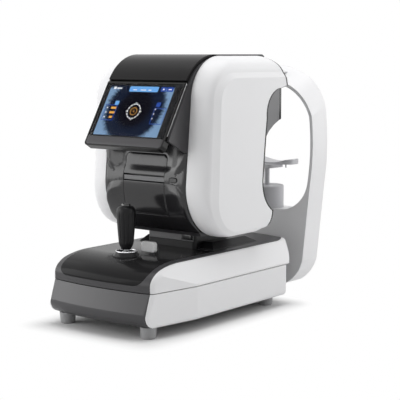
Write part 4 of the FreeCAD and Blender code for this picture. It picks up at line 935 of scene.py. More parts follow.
def mark_ring_tree() -> bpy.types.NodeTree:
    """Marks in a ring in the XY plane: Count, Radius, Length, Width and Thick.

    Returns:
        The geometry tree.
    """
    inputs = {"Count": ("NodeSocketInt", 12), "Radius": ("NodeSocketFloat", 0.01),
              "Length": ("NodeSocketFloat", 0.002), "Width": ("NodeSocketFloat", 0.001),
              "Thick": ("NodeSocketFloat", 0.0001)}

    def build(wiring: Wiring, given: dict[str, Socket]) -> Socket:
        """Fill the tree.

        Args:
            wiring: the tree.
            given: its input sockets by name.

        Returns:
            The geometry.
        """
        ring = wiring.add("GeometryNodeMeshCircle", {"Vertices": given["Count"], "Radius": given["Radius"]})
        size = wiring.add("ShaderNodeCombineXYZ", {0: given["Width"], 1: given["Length"], 2: given["Thick"]})
        mark = wiring.add("GeometryNodeMeshCube", {"Size": size.outputs[0]})
        index = wiring.add("GeometryNodeInputIndex").outputs[0]
        step = wiring.math("DIVIDE", 2 * math.pi, given["Count"])
        turn = wiring.add("ShaderNodeCombineXYZ", {2: wiring.math("MULTIPLY", index, step)})
        placed = wiring.add("GeometryNodeInstanceOnPoints", {"Points": ring.outputs[0],
                                                             "Instance": mark.outputs[0],
                                                             "Rotation": turn.outputs[0]})
        return placed.outputs[0]
    return geometry_tree("ring of marks", inputs, build)


def thread_tree() -> bpy.types.NodeTree:
    """A rod's screw thread along Z: Radius, Turns, Height, Ridge and Resolution.

    Returns:
        The geometry tree.
    """
    inputs = {"Radius": ("NodeSocketFloat", 0.005), "Turns": ("NodeSocketFloat", 30.0),
              "Height": ("NodeSocketFloat", 0.1), "Ridge": ("NodeSocketFloat", 0.001),
              "Resolution": ("NodeSocketInt", 24)}

    def build(wiring: Wiring, given: dict[str, Socket]) -> Socket:
        """Fill the tree.

        Args:
            wiring: the tree.
            given: its input sockets by name.

        Returns:
            The geometry.
        """
        inner = wiring.math("SUBTRACT", given["Radius"], given["Ridge"])
        spiral = wiring.add("GeometryNodeCurveSpiral", {"Resolution": given["Resolution"],
                                                        "Rotations": given["Turns"], "Start Radius": inner,
                                                        "End Radius": inner, "Height": given["Height"]})
        ridge = wiring.add("GeometryNodeCurvePrimitiveCircle", {"Resolution": 4, "Radius": given["Ridge"]})
        swept = wiring.add("GeometryNodeCurveToMesh", {"Curve": spiral.outputs[0],
                                                       "Profile Curve": ridge.outputs[0], "Fill Caps": True})
        core = wiring.add("GeometryNodeMeshCylinder", {"Vertices": 32, "Radius": inner,
                                                       "Depth": given["Height"]})
        half = wiring.math("MULTIPLY", given["Height"], 0.5)
        lift = wiring.add("ShaderNodeCombineXYZ", {2: half})
        raised = wiring.add("GeometryNodeTransform", {"Geometry": core.outputs[0],
                                                      "Translation": lift.outputs[0]})
        joined = wiring.add("GeometryNodeJoinGeometry")
        wiring.tree.links.new(swept.outputs[0], joined.inputs[0])
        wiring.tree.links.new(raised.outputs[0], joined.inputs[0])
        return joined.outputs[0]
    return geometry_tree("screw thread", inputs, build)


def screw_tree() -> bpy.types.NodeTree:
    """Countersunk cross-recess screws on the seed points, heads down: Radius, Height, Slot and Shank.

    Returns:
        The geometry tree.
    """
    inputs = {"Radius": ("NodeSocketFloat", 0.003), "Height": ("NodeSocketFloat", 0.0015),
              "Slot": ("NodeSocketFloat", 0.0008), "Shank": ("NodeSocketFloat", 0.014)}
    recess = 1.3       # length of the recess's bars over the head's radius
    overlap = 0.0001   # how far the shank reaches into the head

    def build(wiring: Wiring, given: dict[str, Socket]) -> Socket:
        """Fill the tree.

        Args:
            wiring: the tree.
            given: its input sockets by name.

        Returns:
            The geometry.
        """
        inner = wiring.math("SUBTRACT", given["Radius"], given["Height"])
        head = wiring.add("GeometryNodeMeshCone", {"Vertices": 24, "Radius Top": inner,
                                                   "Radius Bottom": given["Radius"],
                                                   "Depth": given["Height"]})
        long = wiring.math("MULTIPLY", given["Radius"], recess)
        bars = []
        for turn in (0.0, math.pi / 2):
            size = wiring.add("ShaderNodeCombineXYZ", {0: long, 1: given["Slot"], 2: given["Height"]})
            bar = wiring.add("GeometryNodeMeshCube", {"Size": size.outputs[0]})
            bars.append(wiring.add("GeometryNodeTransform", {"Geometry": bar.outputs[0],
                                                             "Rotation": (0, 0, turn)}).outputs[0])
        cross = wiring.add("GeometryNodeMeshBoolean", operation="UNION")
        for bar in bars:
            wiring.tree.links.new(bar, cross.inputs["Mesh 2"])
        cut = wiring.add("GeometryNodeMeshBoolean", {"Mesh 1": head.outputs[0], "Mesh 2": cross.outputs[0]},
                         operation="DIFFERENCE")
        shank = wiring.add("GeometryNodeMeshCylinder", {"Vertices": 16, "Radius": inner,
                                                        "Depth": given["Shank"]})
        half = wiring.math("MULTIPLY", wiring.math("ADD", given["Shank"], given["Height"]), 0.5)
        lift = wiring.add("ShaderNodeCombineXYZ", {2: wiring.math("SUBTRACT", half, overlap)})
        raised = wiring.add("GeometryNodeTransform", {"Geometry": shank.outputs[0],
                                                      "Translation": lift.outputs[0]})
        screw = wiring.add("GeometryNodeMeshBoolean", operation="UNION")
        wiring.tree.links.new(cut.outputs[0], screw.inputs["Mesh 2"])
        wiring.tree.links.new(raised.outputs[0], screw.inputs["Mesh 2"])
        placed = wiring.add("GeometryNodeInstanceOnPoints", {"Points": given["Geometry"],
                                                             "Instance": screw.outputs[0]})
        return placed.outputs[0]
    return geometry_tree("cross-recess screws", inputs, build)


@dataclass(frozen=True)
class Ring:
    """A ring of marks: their number, its radius, and a mark's length along it and width across it."""

    count: int
    radius: float
    length: float
    width: float

    def mesh(self, thick: float, finish: Finish) -> bpy.types.Mesh:
        """Build the ring in the XY plane about the origin.

        Args:
            thick: thickness of the marks.
            finish: their finish.

        Returns:
            Its mesh.
        """
        sizes = {"Count": self.count, "Radius": self.radius, "Length": self.length, "Width": self.width,
                 "Thick": thick}
        return grown_mesh(mark_ring_tree(), sizes, finish)


@dataclass(frozen=True)
class Tag:
    """A flat mark on the screen, placed from the picture's middle.

    Corner is the radius of its corners, and line the width of its line, or 0 where it is filled.
    """

    x: float
    up: float
    wide: float
    high: float
    corner: float = 0.0
    line: float = 0.0


# ---------------------------------------------------------------- sub-assemblies
@dataclass
class Assembly:
    """A sub-assembly, which seats its new pieces on the frame."""

    frame: dict

    def seat(self, piece: bpy.types.Object, body: Body, slot: Slot, *nodes: str) -> None:
        """Make a piece ride on a body and stand for CAD nodes.

        Args:
            piece: the new piece.
            body: the body that it moves with.
            slot: the material slot that its finish belongs to; not used.
            *nodes: the CAD nodes that it stands for.
        """
        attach(piece, body.value)
        if nodes:
            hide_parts(*nodes)
        LOG.info("%s rides on %s: %d faces", piece.name, body.value, len(piece.data.polygons))


@dataclass
class FrontPanel(Assembly):
    """Bulged front panel with its waist band, printer lid and printer door.

    One skin makes all three. Its curves say how far it lies back: swell by height from the panel's top,
    hollow by height from the band's middle, and pad_roll by distance into a pad. Flare says how far the band
    has widened by distance from the middle plane.
    """

    half: float = 0.0877
    wall: float = 0.006
    edge: float = 0.0006
    step: float = 0.0035
    sharp: float = 50.0
    lid_wall: float = 0.004
    lid_edge: float = 0.0005
    lid_corner: float = 0.008
    lid_gap: float = 0.0003
    door_corner: float = 0.0008
    door_gap: float = 0.0005
    band_depth: float = 0.0045
    side_roll: float = 0.005
    printer_half: float = 0.044
    cheek_half: float = 0.0836
    cheek_drop: float = 0.0323
    hinge_y: float = -0.1278
    knuckle: float = 0.0019
    stub: float = 0.0012
    stub_long: float = 0.0025
    button_half: float = 0.0035
    button_round: float = 0.0035
    button_gap: float = 0.0005
    button_steps: int = 8
    swell: tuple[Flat, ...] = ((-0.166, 0.0401), (-0.150, 0.0221), (-0.131, 0.0101), (-0.108, 0.0026),
                               (-0.088, 0.0001), (-0.066, 0.0011), (-0.034, 0.0056), (0.0, 0.0101))
    hollow: tuple[Flat, ...] = ((-0.062, 0.0), (-0.052, 0.0006), (-0.032, 0.0024), (-0.018, 0.0033),
                                (-0.006, 0.0035), (0.006, 0.0035), (0.0205, 0.0078), (0.027, 0.0083),
                                (0.077, 0.0085))
    hollow_fade: float = 0.039
    pad_roll: tuple[Flat, ...] = ((0.0, 0.0054), (0.006, 0.0026), (0.011, 0.0007), (0.014, 0.0001),
                                  (0.017, 0.0))
    flare: tuple[Flat, ...] = ((0.0, 0.0), (0.0440, 0.0), (0.0570, 0.0006), (0.0730, 0.0045),
                               (0.0825, 0.0150), (0.0880, 0.0290))
    band_rows: tuple[float, ...] = (-0.0004, 0.0)
    roll_rows: tuple[float, ...] = (0.0015, 0.0035, 0.0060, 0.0085, 0.0110, 0.0140, 0.0170)
    row_gap: float = 0.002

    def __post_init__(self) -> None:
        """Take the panel's places from the frame."""
        low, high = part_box("front_panel")
        self.front, self.top, self.foot = low.y, high.z, low.z
        lid_low, lid_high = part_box("printer_lid")
        self.band_high, self.lid_top = lid_low.z, lid_high.z
        door_low, door_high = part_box("printer_door")
        self.band_low = door_high.z + self.lid_gap
        self.pivot = Vector((0.0, self.hinge_y, door_low.z + self.knuckle))
        self.cheek = self.top - self.cheek_drop

    def surface(self, x: float, z: float, depth: float) -> Vector:
        """A point of the panel's skin.

        Args:
            x: place across.
            z: height.
            depth: how far behind the skin it lies.

        Returns:
            The point.
        """
        middle = (self.band_low + self.band_high) / 2
        t = min(1.0, max(0.0, (self.printer_half + self.hollow_fade - abs(x)) / self.hollow_fade))
        t = t * t * (3 - 2 * t)
        back = (1 - t) * self.sunk(x, z) + t * smooth_curve(self.hollow, z - middle)
        y = self.front + smooth_curve(self.swell, z - self.top) + back + self.rolled(x) + depth
        return Vector((x, y, z))

    def band_edge(self, x: float) -> float:
        """How far the band has widened at a place across."""
        return smooth_curve(self.flare, abs(x))

    def sunk(self, x: float, z: float) -> float:
        """How far the skin lies back at a place: pillowed pads above and below the band."""
        inward = max(z - self.band_high, self.band_low - z) - self.band_edge(x)
        return self.band_depth if inward < 0 else smooth_curve(self.pad_roll, inward)

    def rolled(self, x: float) -> float:
        """How far the skin lies back where it rolls round to the panel's sides."""
        t = (self.half - abs(x)) / self.side_roll
        return self.side_roll * (1 - math.sqrt(max(0.0, 1 - (1 - t) ** 2))) if t < 1 else 0.0

    def rows(self, steps: Sequence[float], half: float) -> list[Flat]:
        """Places along the rolled edges of the pads.

        Args:
            steps: distances into the pads.
            half: how far out the rows reach.

        Returns:
            The places.
        """
        count = int(2 * half / self.row_gap)
        xs = [-half + 2 * half * i / count for i in range(1, count)]
        upper = [(x, self.band_high + self.band_edge(x) + t) for x in xs for t in steps]
        lower = [(x, self.band_low - self.band_edge(x) - t) for x in xs for t in steps]
        return upper + lower

    def button_hole(self) -> list[Flat]:
        """Outline of the release button's hole.

        Returns:
            The outline, with a half circle at each end.
        """
        low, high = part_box("printer_release")
        across, up = (low.x + high.x) / 2, (low.z + high.z) / 2
        radius = self.button_round + self.button_gap
        outline = []
        for x, start in ((across + self.button_half, -90), (across - self.button_half, 90)):
            for i in range(self.button_steps + 1):
                angle = math.radians(start + 180 * i / self.button_steps)
                outline.append((x + radius * math.cos(angle), up + radius * math.sin(angle)))
        return outline

    def build(self) -> None:
        """Build the panel, the lid and the door."""
        self.panel()
        self.lid()
        self.door()

    def panel(self) -> None:
        """Build the panel with the printer's bay and the button's hole in it."""
        outline = [(-self.half, self.foot), (self.half, self.foot), (self.half, self.cheek),
                   (self.cheek_half, self.cheek), (self.cheek_half, self.top), (-self.cheek_half, self.top),
                   (-self.cheek_half, self.cheek), (-self.half, self.cheek)]
        side = self.printer_half + self.door_gap
        bay = round_box(-side, side, self.pivot.z - self.knuckle - self.door_gap, self.lid_top + self.lid_gap,
                        0.0, self.lid_corner)
        panel = Plate(self.surface, outline, self.wall, self.edge, self.step, [bay, self.button_hole()],
                      self.rows(self.band_rows + self.roll_rows, self.half))
        piece = new_piece("front_cover", panel.mesh(), PANEL_GREY, self.sharp)
        self.seat(piece, Body.HEAD, Slot.DARK_GREY, "front_panel")

    def lid(self) -> None:
        """Build the printer lid."""
        half = self.printer_half + self.door_gap - self.lid_gap
        outline = round_box(-half, half, self.band_high, self.lid_top, 0.0, self.lid_corner)
        lid = Plate(self.surface, outline, self.lid_wall, self.lid_edge, self.step, [],
                    self.rows(self.roll_rows, half))
        piece = new_piece("paper_lid", lid.mesh(), PANEL_GREY, self.sharp)
        self.seat(piece, Body.HEAD, Slot.DARK_GREY, "printer_lid")

    def door(self) -> None:
        """Build the printer door with its knuckle and its two pins."""
        half = self.printer_half
        outline = round_box(-half, half, self.pivot.z, self.band_low - self.lid_gap, 0.0, self.door_corner)
        plate = Plate(self.surface, outline, self.lid_wall, self.lid_edge, self.step, [],
                      self.rows(self.roll_rows, half))
        end = half + self.stub_long
        profile = [(0.0, -end), (self.stub, -end), (self.stub, -half), (self.knuckle, -half),
                   (self.knuckle, half), (self.stub, half), (self.stub, end), (0.0, end)]
        hinge = turned_mesh(profile, 24, Vector((0, 0, 0)))
        hinge.transform(Matrix.Translation(self.pivot) @ Matrix.Rotation(math.pi / 2, 4, "Y"))
        piece = join_meshes("paper_door", (plate.mesh(), hinge), PANEL_GREY)
        self.seat(piece, Body.DOOR, Slot.DARK_GREY, "printer_door")


@dataclass
class Display(Assembly):
    """Tilting display: glass pane, sill painted a lighter grey for the light on its lower edge, black border,
    live picture, its marks and metal glint strips standing in for a highlight.

    Depths are measured back from the glass's face, and heights along it from its lower edge.
    """

    lean: float = math.radians(30.9)
    glass: float = 0.0008
    pane_edge: float = 0.0003
    pane_step: float = 0.02
    sill_top: float = 0.0150
    sill_wall: float = 0.0011
    sill_edge: float = 0.0005
    sill_step: float = 0.004
    sill_corner: float = 0.005
    seam: float = 0.0002
    border: float = 0.0002
    window_corner: float = 0.001
    layer_gap: float = 0.00005
    layer_edge: float = 0.00005
    layer_step: float = 0.01
    picture_gap: float = 0.00004
    picture_left: float = -0.0725
    picture_right: float = 0.0655
    picture_low: float = 0.0178
    picture_high: float = 0.1105
    eye_up: float = 0.004
    # The side strips below are a painted highlight: metal strips standing in for the glint on the display's
    # rounded side edges.
    trim_proud: float = 0.0003
    trim_thick: float = 0.0006
    trim_wide: float = 0.0022
    trim_depth: float = 0.0042
    trim_low: float = 0.022
    trim_high: float = 0.118
    trim_edge: float = 0.0001
    tag_proud: float = 0.00012
    tag_edge: float = 0.00001
    ring_proud: float = 0.00008
    mark_thick: float = 0.00008
    white_lift: float = 0.00002
    target_up: float = -0.001
    white_rings: tuple[Ring, ...] = (Ring(14, 0.0132, 0.0042, 0.0018), Ring(4, 0.0155, 0.0013, 0.0024))
    orange_ring: Ring = Ring(20, 0.0066, 0.0021, 0.0008)
    cross_long: float = 0.0034
    cross_wide: float = 0.0008
    white_tags: tuple[Tag, ...] = (
        Tag(-0.0590, 0.0415, 0.0055, 0.0045, 0.0010), Tag(-0.0490, 0.0410, 0.0110, 0.0022, 0.0008),
        Tag(-0.0140, 0.0385, 0.0080, 0.0016), Tag(0.0040, 0.0385, 0.0120, 0.0016),
        Tag(0.0180, 0.0385, 0.0060, 0.0016), Tag(0.0465, 0.0405, 0.0035, 0.0025),
        Tag(0.0600, 0.0405, 0.0060, 0.0018))
    blue_tags: tuple[Tag, ...] = (
        Tag(0.0045, 0.0400, 0.0620, 0.0100, 0.0022), Tag(-0.0425, 0.0135, 0.0085, 0.0075, 0.0008))
    navy_tags: tuple[Tag, ...] = (
        Tag(-0.0520, -0.0048, 0.0255, 0.0290, 0.0006, 0.0011),
        Tag(0.0550, -0.0085, 0.0255, 0.0290, 0.0006, 0.0011),
        Tag(0.0465, 0.0405, 0.0110, 0.0080, 0.0008), Tag(0.0600, 0.0405, 0.0135, 0.0080, 0.0008),
        Tag(0.0475, 0.0125, 0.0085, 0.0080, 0.0008))
    bullets: tuple[Tag, ...] = (
        Tag(-0.0595, 0.0, 0.0024, 0.0022, 0.0008), Tag(0.0445, 0.0, 0.0020, 0.0022, 0.0008))
    value_bar: Tag = Tag(-0.0455, 0.0, 0.0, 0.0038, 0.0008)
    value_widths: tuple[float, ...] = (0.0125, 0.0125, 0.0070)
    value_top: float = 0.004
    value_step: float = 0.0085

    def __post_init__(self) -> None:
        """Take the display's plane and the screen's size from the frame."""
        self.up = Vector((0, math.sin(self.lean), math.cos(self.lean)))
        self.out = Vector((0, -math.cos(self.lean), math.sin(self.lean)))
        corners = [v.co for v in self.frame["nodes"]["display_glass"].data.vertices]
        self.half = max(c.x for c in corners)
        low = min(c.dot(self.up) for c in corners)
        self.long = max(c.dot(self.up) for c in corners) - low
        face = max(c.dot(self.out) for c in corners)
        self.origin = self.up * low + self.out * face
        screen = [v.co for v in self.frame["nodes"]["lcd_panel"].data.vertices]
        self.screen_half = max(c.x for c in screen)
        self.screen_low = min(c.dot(self.up) for c in screen) - low
        self.screen_high = max(c.dot(self.up) for c in screen) - low
        self.screen_face = face - max(c.dot(self.out) for c in screen)
        self.screen_back = face - min(c.dot(self.out) for c in screen)
        self.middle = ((self.picture_left + self.picture_right) / 2,
                       (self.picture_low + self.picture_high) / 2)

    def surface(self, x: float, along: float, depth: float) -> Vector:
        """A point of the display.

        Args:
            x: place across.
            along: distance up the display from the glass's lower edge.
            depth: how far behind the glass's face it lies.

        Returns:
            The point.
        """
        return self.origin + Vector((x, 0, 0)) + self.up * along - self.out * depth

    def layer(self, depth: float) -> Callable[[float, float, float], Vector]:
        """The display's surface at a depth."""
        return lambda x, along, below: self.surface(x, along, depth + below)

    def build(self) -> None:
        """Build the pane, the sill, the border, the picture, the marks and the glint strips."""
        upper = round_box(-self.half, self.half, self.sill_top + self.seam, self.long)
        pane = Plate(self.surface, upper, self.glass, self.pane_edge, self.pane_step)
        piece = new_piece("display_pane", pane.mesh(), SCREEN_GLASS)
        self.seat(piece, Body.DISPLAY, Slot.DISPLAY_GLASS, "display_glass")
        lower = round_box(-self.half, self.half, 0.0, self.sill_top, self.sill_corner)
        sill = Plate(self.surface, lower, self.sill_wall, self.sill_edge, self.sill_step)
        self.seat(new_piece("display_sill", sill.mesh(), SILL_LIT_GREY), Body.DISPLAY, Slot.DARK_SATIN)
        window = round_box(self.picture_left, self.picture_right, self.picture_low, self.picture_high,
                           self.window_corner, self.window_corner)
        border = Plate(self.layer(self.glass + self.layer_gap), upper, self.border, self.layer_edge,
                       self.layer_step, [window])
        self.seat(new_piece("display_border", border.mesh(), BORDER_INK), Body.DISPLAY, Slot.DARK_SATIN)
        self.picture()
        self.marks()
        self.trims()

    def picture(self) -> None:
        """Build the screen with its live picture."""
        centre = self.surface(self.middle[0], self.middle[1] + self.eye_up, self.screen_face)
        eye = EyePicture("live eye picture", (0, 0, 0), centre=tuple(centre), turn=math.pi / 2 - self.lean)
        outline = round_box(-self.screen_half, self.screen_half, self.screen_low, self.screen_high)
        screen = Plate(self.layer(self.screen_face + self.picture_gap), outline,
                       self.screen_back - self.screen_face - self.layer_gap, self.layer_edge, self.layer_step)
        piece = new_piece("screen_picture", screen.mesh(), eye)
        self.seat(piece, Body.DISPLAY, Slot.LCD, "lcd_panel")

    def trims(self) -> None:
        """Build the two polished metal strips along the display's sides, which stand in for the highlight on
        its rounded side edges: a painted highlight.
        """
        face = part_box("display_housing")[1].x + self.trim_proud
        half = self.trim_wide / 2
        strips = []
        for side in (-1, 1):
            def skin(u: float, along: float, depth: float, side: int = side) -> Vector:
                """A point of a strip: u runs backwards on the right side and forwards on the left."""
                return self.surface(side * (face - depth), along, self.trim_depth + side * u)
            outline = round_box(-half, half, self.trim_low, self.trim_high, half, half, 3)
            strips.append(Plate(skin, outline, self.trim_thick, self.trim_edge, self.pane_step).mesh())
        self.seat(join_meshes("display_trims", strips, GLINT_METAL), Body.DISPLAY, Slot.CHROME)

    def tag(self, tag: Tag) -> bpy.types.Mesh:
        """A thin flat mark on the picture.

        Args:
            tag: its place and its size.

        Returns:
            Its mesh.
        """
        x, up = self.middle[0] + tag.x, self.middle[1] + tag.up
        outline = round_box(x - tag.wide / 2, x + tag.wide / 2, up - tag.high / 2, up + tag.high / 2,
                            tag.corner, tag.corner, 4)
        holes = [inset(outline, tag.line)] if tag.line else []
        return Plate(self.layer(self.screen_face - self.tag_proud), outline, self.mark_thick, self.tag_edge,
                     self.pane_step, holes).mesh()

    def listed(self, tag: Tag, row: int) -> bpy.types.Mesh:
        """A mark in one row of the value boxes."""
        return self.tag(replace(tag, up=self.value_top - self.value_step * row))

    def ring(self, ring: Ring, finish: Finish) -> bpy.types.Mesh:
        """A ring of marks round the picture's target.

        Args:
            ring: its sizes.
            finish: what lights the marks.

        Returns:
            Its mesh.
        """
        mesh = ring.mesh(self.mark_thick, finish)
        place = self.surface(self.middle[0], self.middle[1] + self.target_up,
                             self.screen_face - self.ring_proud)
        axes = Matrix((Vector((1, 0, 0)), self.up, self.out)).transposed().to_4x4()
        mesh.transform(Matrix.Translation(place) @ axes)
        return mesh

    def marks(self) -> None:
        """Build the picture's marks: target rings with a cross, title row and value boxes."""
        white = [self.ring(ring, MARK_WHITE) for ring in self.white_rings]
        white += [self.tag(tag) for tag in self.white_tags]
        white += [self.listed(tag, row) for tag in self.bullets for row in range(len(self.value_widths))]
        orange = [self.ring(self.orange_ring, MARK_ORANGE),
                  self.tag(Tag(0.0, self.target_up, self.cross_long, self.cross_wide)),
                  self.tag(Tag(0.0, self.target_up, self.cross_wide, self.cross_long))]
        orange += [self.listed(replace(self.value_bar, wide=wide), row)
                   for row, wide in enumerate(self.value_widths)]
        blue = [self.tag(tag) for tag in self.blue_tags]
        navy = [self.tag(tag) for tag in self.navy_tags]
        lift = Matrix.Translation(self.out * self.white_lift)
        for mesh in white:
            mesh.transform(lift)
        for name, meshes, finish in (("navy", navy, MARK_NAVY), ("blue", blue, MARK_BLUE),
                                     ("orange", orange, MARK_ORANGE), ("white", white, MARK_WHITE)):
            self.seat(join_meshes(f"screen_marks_{name}", meshes, finish), Body.DISPLAY, Slot.LCD)


@dataclass
class Joystick(Assembly):
    """Ribbed grip with a domed rim, and the measuring button in it.

    Shape gives the grip's radius by height above its foot. The grooves fade in above groove_low and out below
    groove_high.
    """

    ribs: int = 12
    rib_steps: int = 12
    groove: float = 0.0011
    groove_power: float = 2.5
    groove_low: float = 0.006
    low_fade: float = 0.008
    groove_high: float = 0.064
    high_fade: float = 0.006
    plain_radius: float = 0.0085
    bore: float = 0.0052
    well: float = 0.0076
    well_top: float = 0.0708
    well_drop: float = 0.0065
    grip_steps: int = 44
    crowding: float = 1.15
    grip_sharp: float = 55.0
    shape: tuple[Flat, ...] = ((0.0, 0.0080), (0.003, 0.0093), (0.009, 0.0118), (0.020, 0.0130),
                               (0.036, 0.0143), (0.052, 0.0152), (0.060, 0.0154), (0.0655, 0.0147),
                               (0.0690, 0.0125), (0.0708, 0.0098), (0.0712, 0.0080))
    button_radius: float = 0.0072
    button_round: float = 0.0014
    button_steps: int = 6
    button_sharp: float = 40.0
    dish: tuple[Flat, ...] = ((0.0035, 0.0003), (0.0, 0.0004))

    def __post_init__(self) -> None:
        """Take the grip's place from the frame."""
        low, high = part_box("joystick_grip")
        self.foot = Vector(((low.x + high.x) / 2, (low.y + high.y) / 2, low.z))
        self.tall = high.z - low.z

    def rib(self, radius: float, height: float, angle: float) -> float:
        """Radius of the grip with its grooves.

        Args:
            radius: radius without grooves.
            height: height above the grip's foot.
            angle: angle about its axis.

        Returns:
            The radius there.
        """
        fade = min(1.0, max(0.0, (height - self.groove_low) / self.low_fade),
                   max(0.0, (self.groove_high - height) / self.high_fade))
        if radius < self.plain_radius or fade <= 0:
            return radius
        wave = abs(math.sin(self.ribs * angle / 2))
        return radius - self.groove * fade * (1 - wave) ** self.groove_power

    def build(self) -> None:
        """Build the grip and the button."""
        self.grip()
        self.button()

    def grip(self) -> None:
        """Build the grip, with its points crowded towards the rim."""
        top, count = self.shape[-1][0], self.grip_steps
        heights = [top * (1 - (1 - i / count) ** self.crowding) for i in range(count + 1)]
        outer = [(smooth_curve(self.shape, h), h) for h in heights]
        floor = self.tall - self.well_drop
        inner = [(self.well, self.well_top), (self.well, floor), (self.bore, floor)]
        profile = [(self.bore, 0.0)] + outer + inner
        mesh = turned_mesh(profile, self.ribs * self.rib_steps, self.foot, self.rib)
        piece = new_piece("grip_body", mesh, SOFT_GRIP, self.grip_sharp)
        self.seat(piece, Body.GRIP, Slot.GRIP, "joystick_grip")

    def button(self) -> None:
        """Build the button, with a rounded edge and a dished top."""
        low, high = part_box("joystick_button")
        tall, edge = high.z - low.z, self.button_round
        turns = [math.radians(90 * i / self.button_steps) for i in range(self.button_steps + 1)]
        crown = [(self.button_radius - edge * (1 - math.cos(a)), tall - edge * (1 - math.sin(a)))
                 for a in turns]
        section = [(0.0, 0.0), (self.button_radius, 0.0)] + crown
        section += [(radius, tall - drop) for radius, drop in self.dish]
        mesh = turned_mesh(section, 48, Vector((self.foot.x, self.foot.y, low.z)))
        piece = new_piece("measuring_button", mesh, BUTTON_BLACK, self.button_sharp)
        self.seat(piece, Body.BUTTON, Slot.BLACK, "joystick_button")


@dataclass
class FaceRest(Assembly):
    """Soft forehead pad under the crown of the face opening, which is an arc."""

    seat_gap: float = 0.0005
    swell: float = 0.0022
    thick: float = 0.0040
    lip: float = 0.0008
    end_gap: float = 0.0005
    end_near: float = 0.0002
    crown_power: int = 6
    waist: float = 0.03
    waist_power: int = 4
    end_from: float = 0.98
    end_share: float = 0.985
    across: int = 48
    deep: int = 28
    sharp: float = 80.0
    fill: float = 0.8

    def __post_init__(self) -> None:
        """Take the arc of the opening's crown from the frame."""
        low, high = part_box("forehead_pad")
        self.front, self.back = low.y, high.y
        corners = [v.co for v in self.frame["nodes"]["forehead_pad"].data.vertices]
        drop = high.z - max(c.z for c in corners if c.x > high.x - self.end_near)
        self.radius = (high.x * high.x + drop * drop) / (2 * drop)
        self.centre = Vector((0, 0, high.z - self.radius))
        self.reach = math.asin((high.x - self.end_gap) / self.radius)

    def place(self, u: float, v: float, side: int) -> Vector:
        """A point of the pad.

        Args:
            u: place along the arc, from -1 to 1.
            v: place across the arc, from -1 to 1.
            side: 0 for the side that lies on the arch and 1 for the crowned side.

        Returns:
            The point.
        """
        pull = self.end_share if abs(u) > self.end_from else 1 - self.waist * (1 - abs(u) ** self.waist_power)
        y = (self.front + self.back) / 2 + v * (self.back - self.front) / 2 * pull
        crown = (1 - abs(u) ** self.crown_power) ** 0.5 * (1 - abs(v) ** self.crown_power) ** 0.5
        sunk = self.seat_gap if side == 0 else self.seat_gap + self.lip + (self.thick + self.swell) * crown
        far, angle = self.radius - sunk, u * self.reach
        return self.centre + Vector((far * math.sin(angle), y, far * math.cos(angle)))

    def build(self) -> None:
        """Build the crowned pad along the opening's crown."""
        form = bmesh.new()
        grid: dict[tuple[int, int, int], bmesh.types.BMVert] = {}
        for i in range(self.across + 1):
            for j in range(self.deep + 1):
                for side in (0, 1):
                    place = self.place(-1 + 2 * i / self.across, -1 + 2 * j / self.deep, side)
                    grid[i, j, side] = form.verts.new(place)
        for i in range(self.across):
            for j in range(self.deep):
                for side in (0, 1):
                    around = ((i, j), (i + 1, j), (i + 1, j + 1), (i, j + 1))
                    form.faces.new([grid[a, b, side] for a, b in around])
        rim = [(i, 0) for i in range(self.across)] + [(self.across, j) for j in range(self.deep)]
        rim += [(i, self.deep) for i in range(self.across, 0, -1)] + [(0, j) for j in range(self.deep, 0, -1)]
        for a, b in zip(rim, rim[1:] + rim[:1]):
            form.faces.new((grid[(*a, 0)], grid[(*b, 0)], grid[(*b, 1)], grid[(*a, 1)]))
        pad = new_piece("brow_pad", mesh_of(form), PAD, self.sharp)
        self.seat(pad, Body.BASE, Slot.PAD, "forehead_pad")


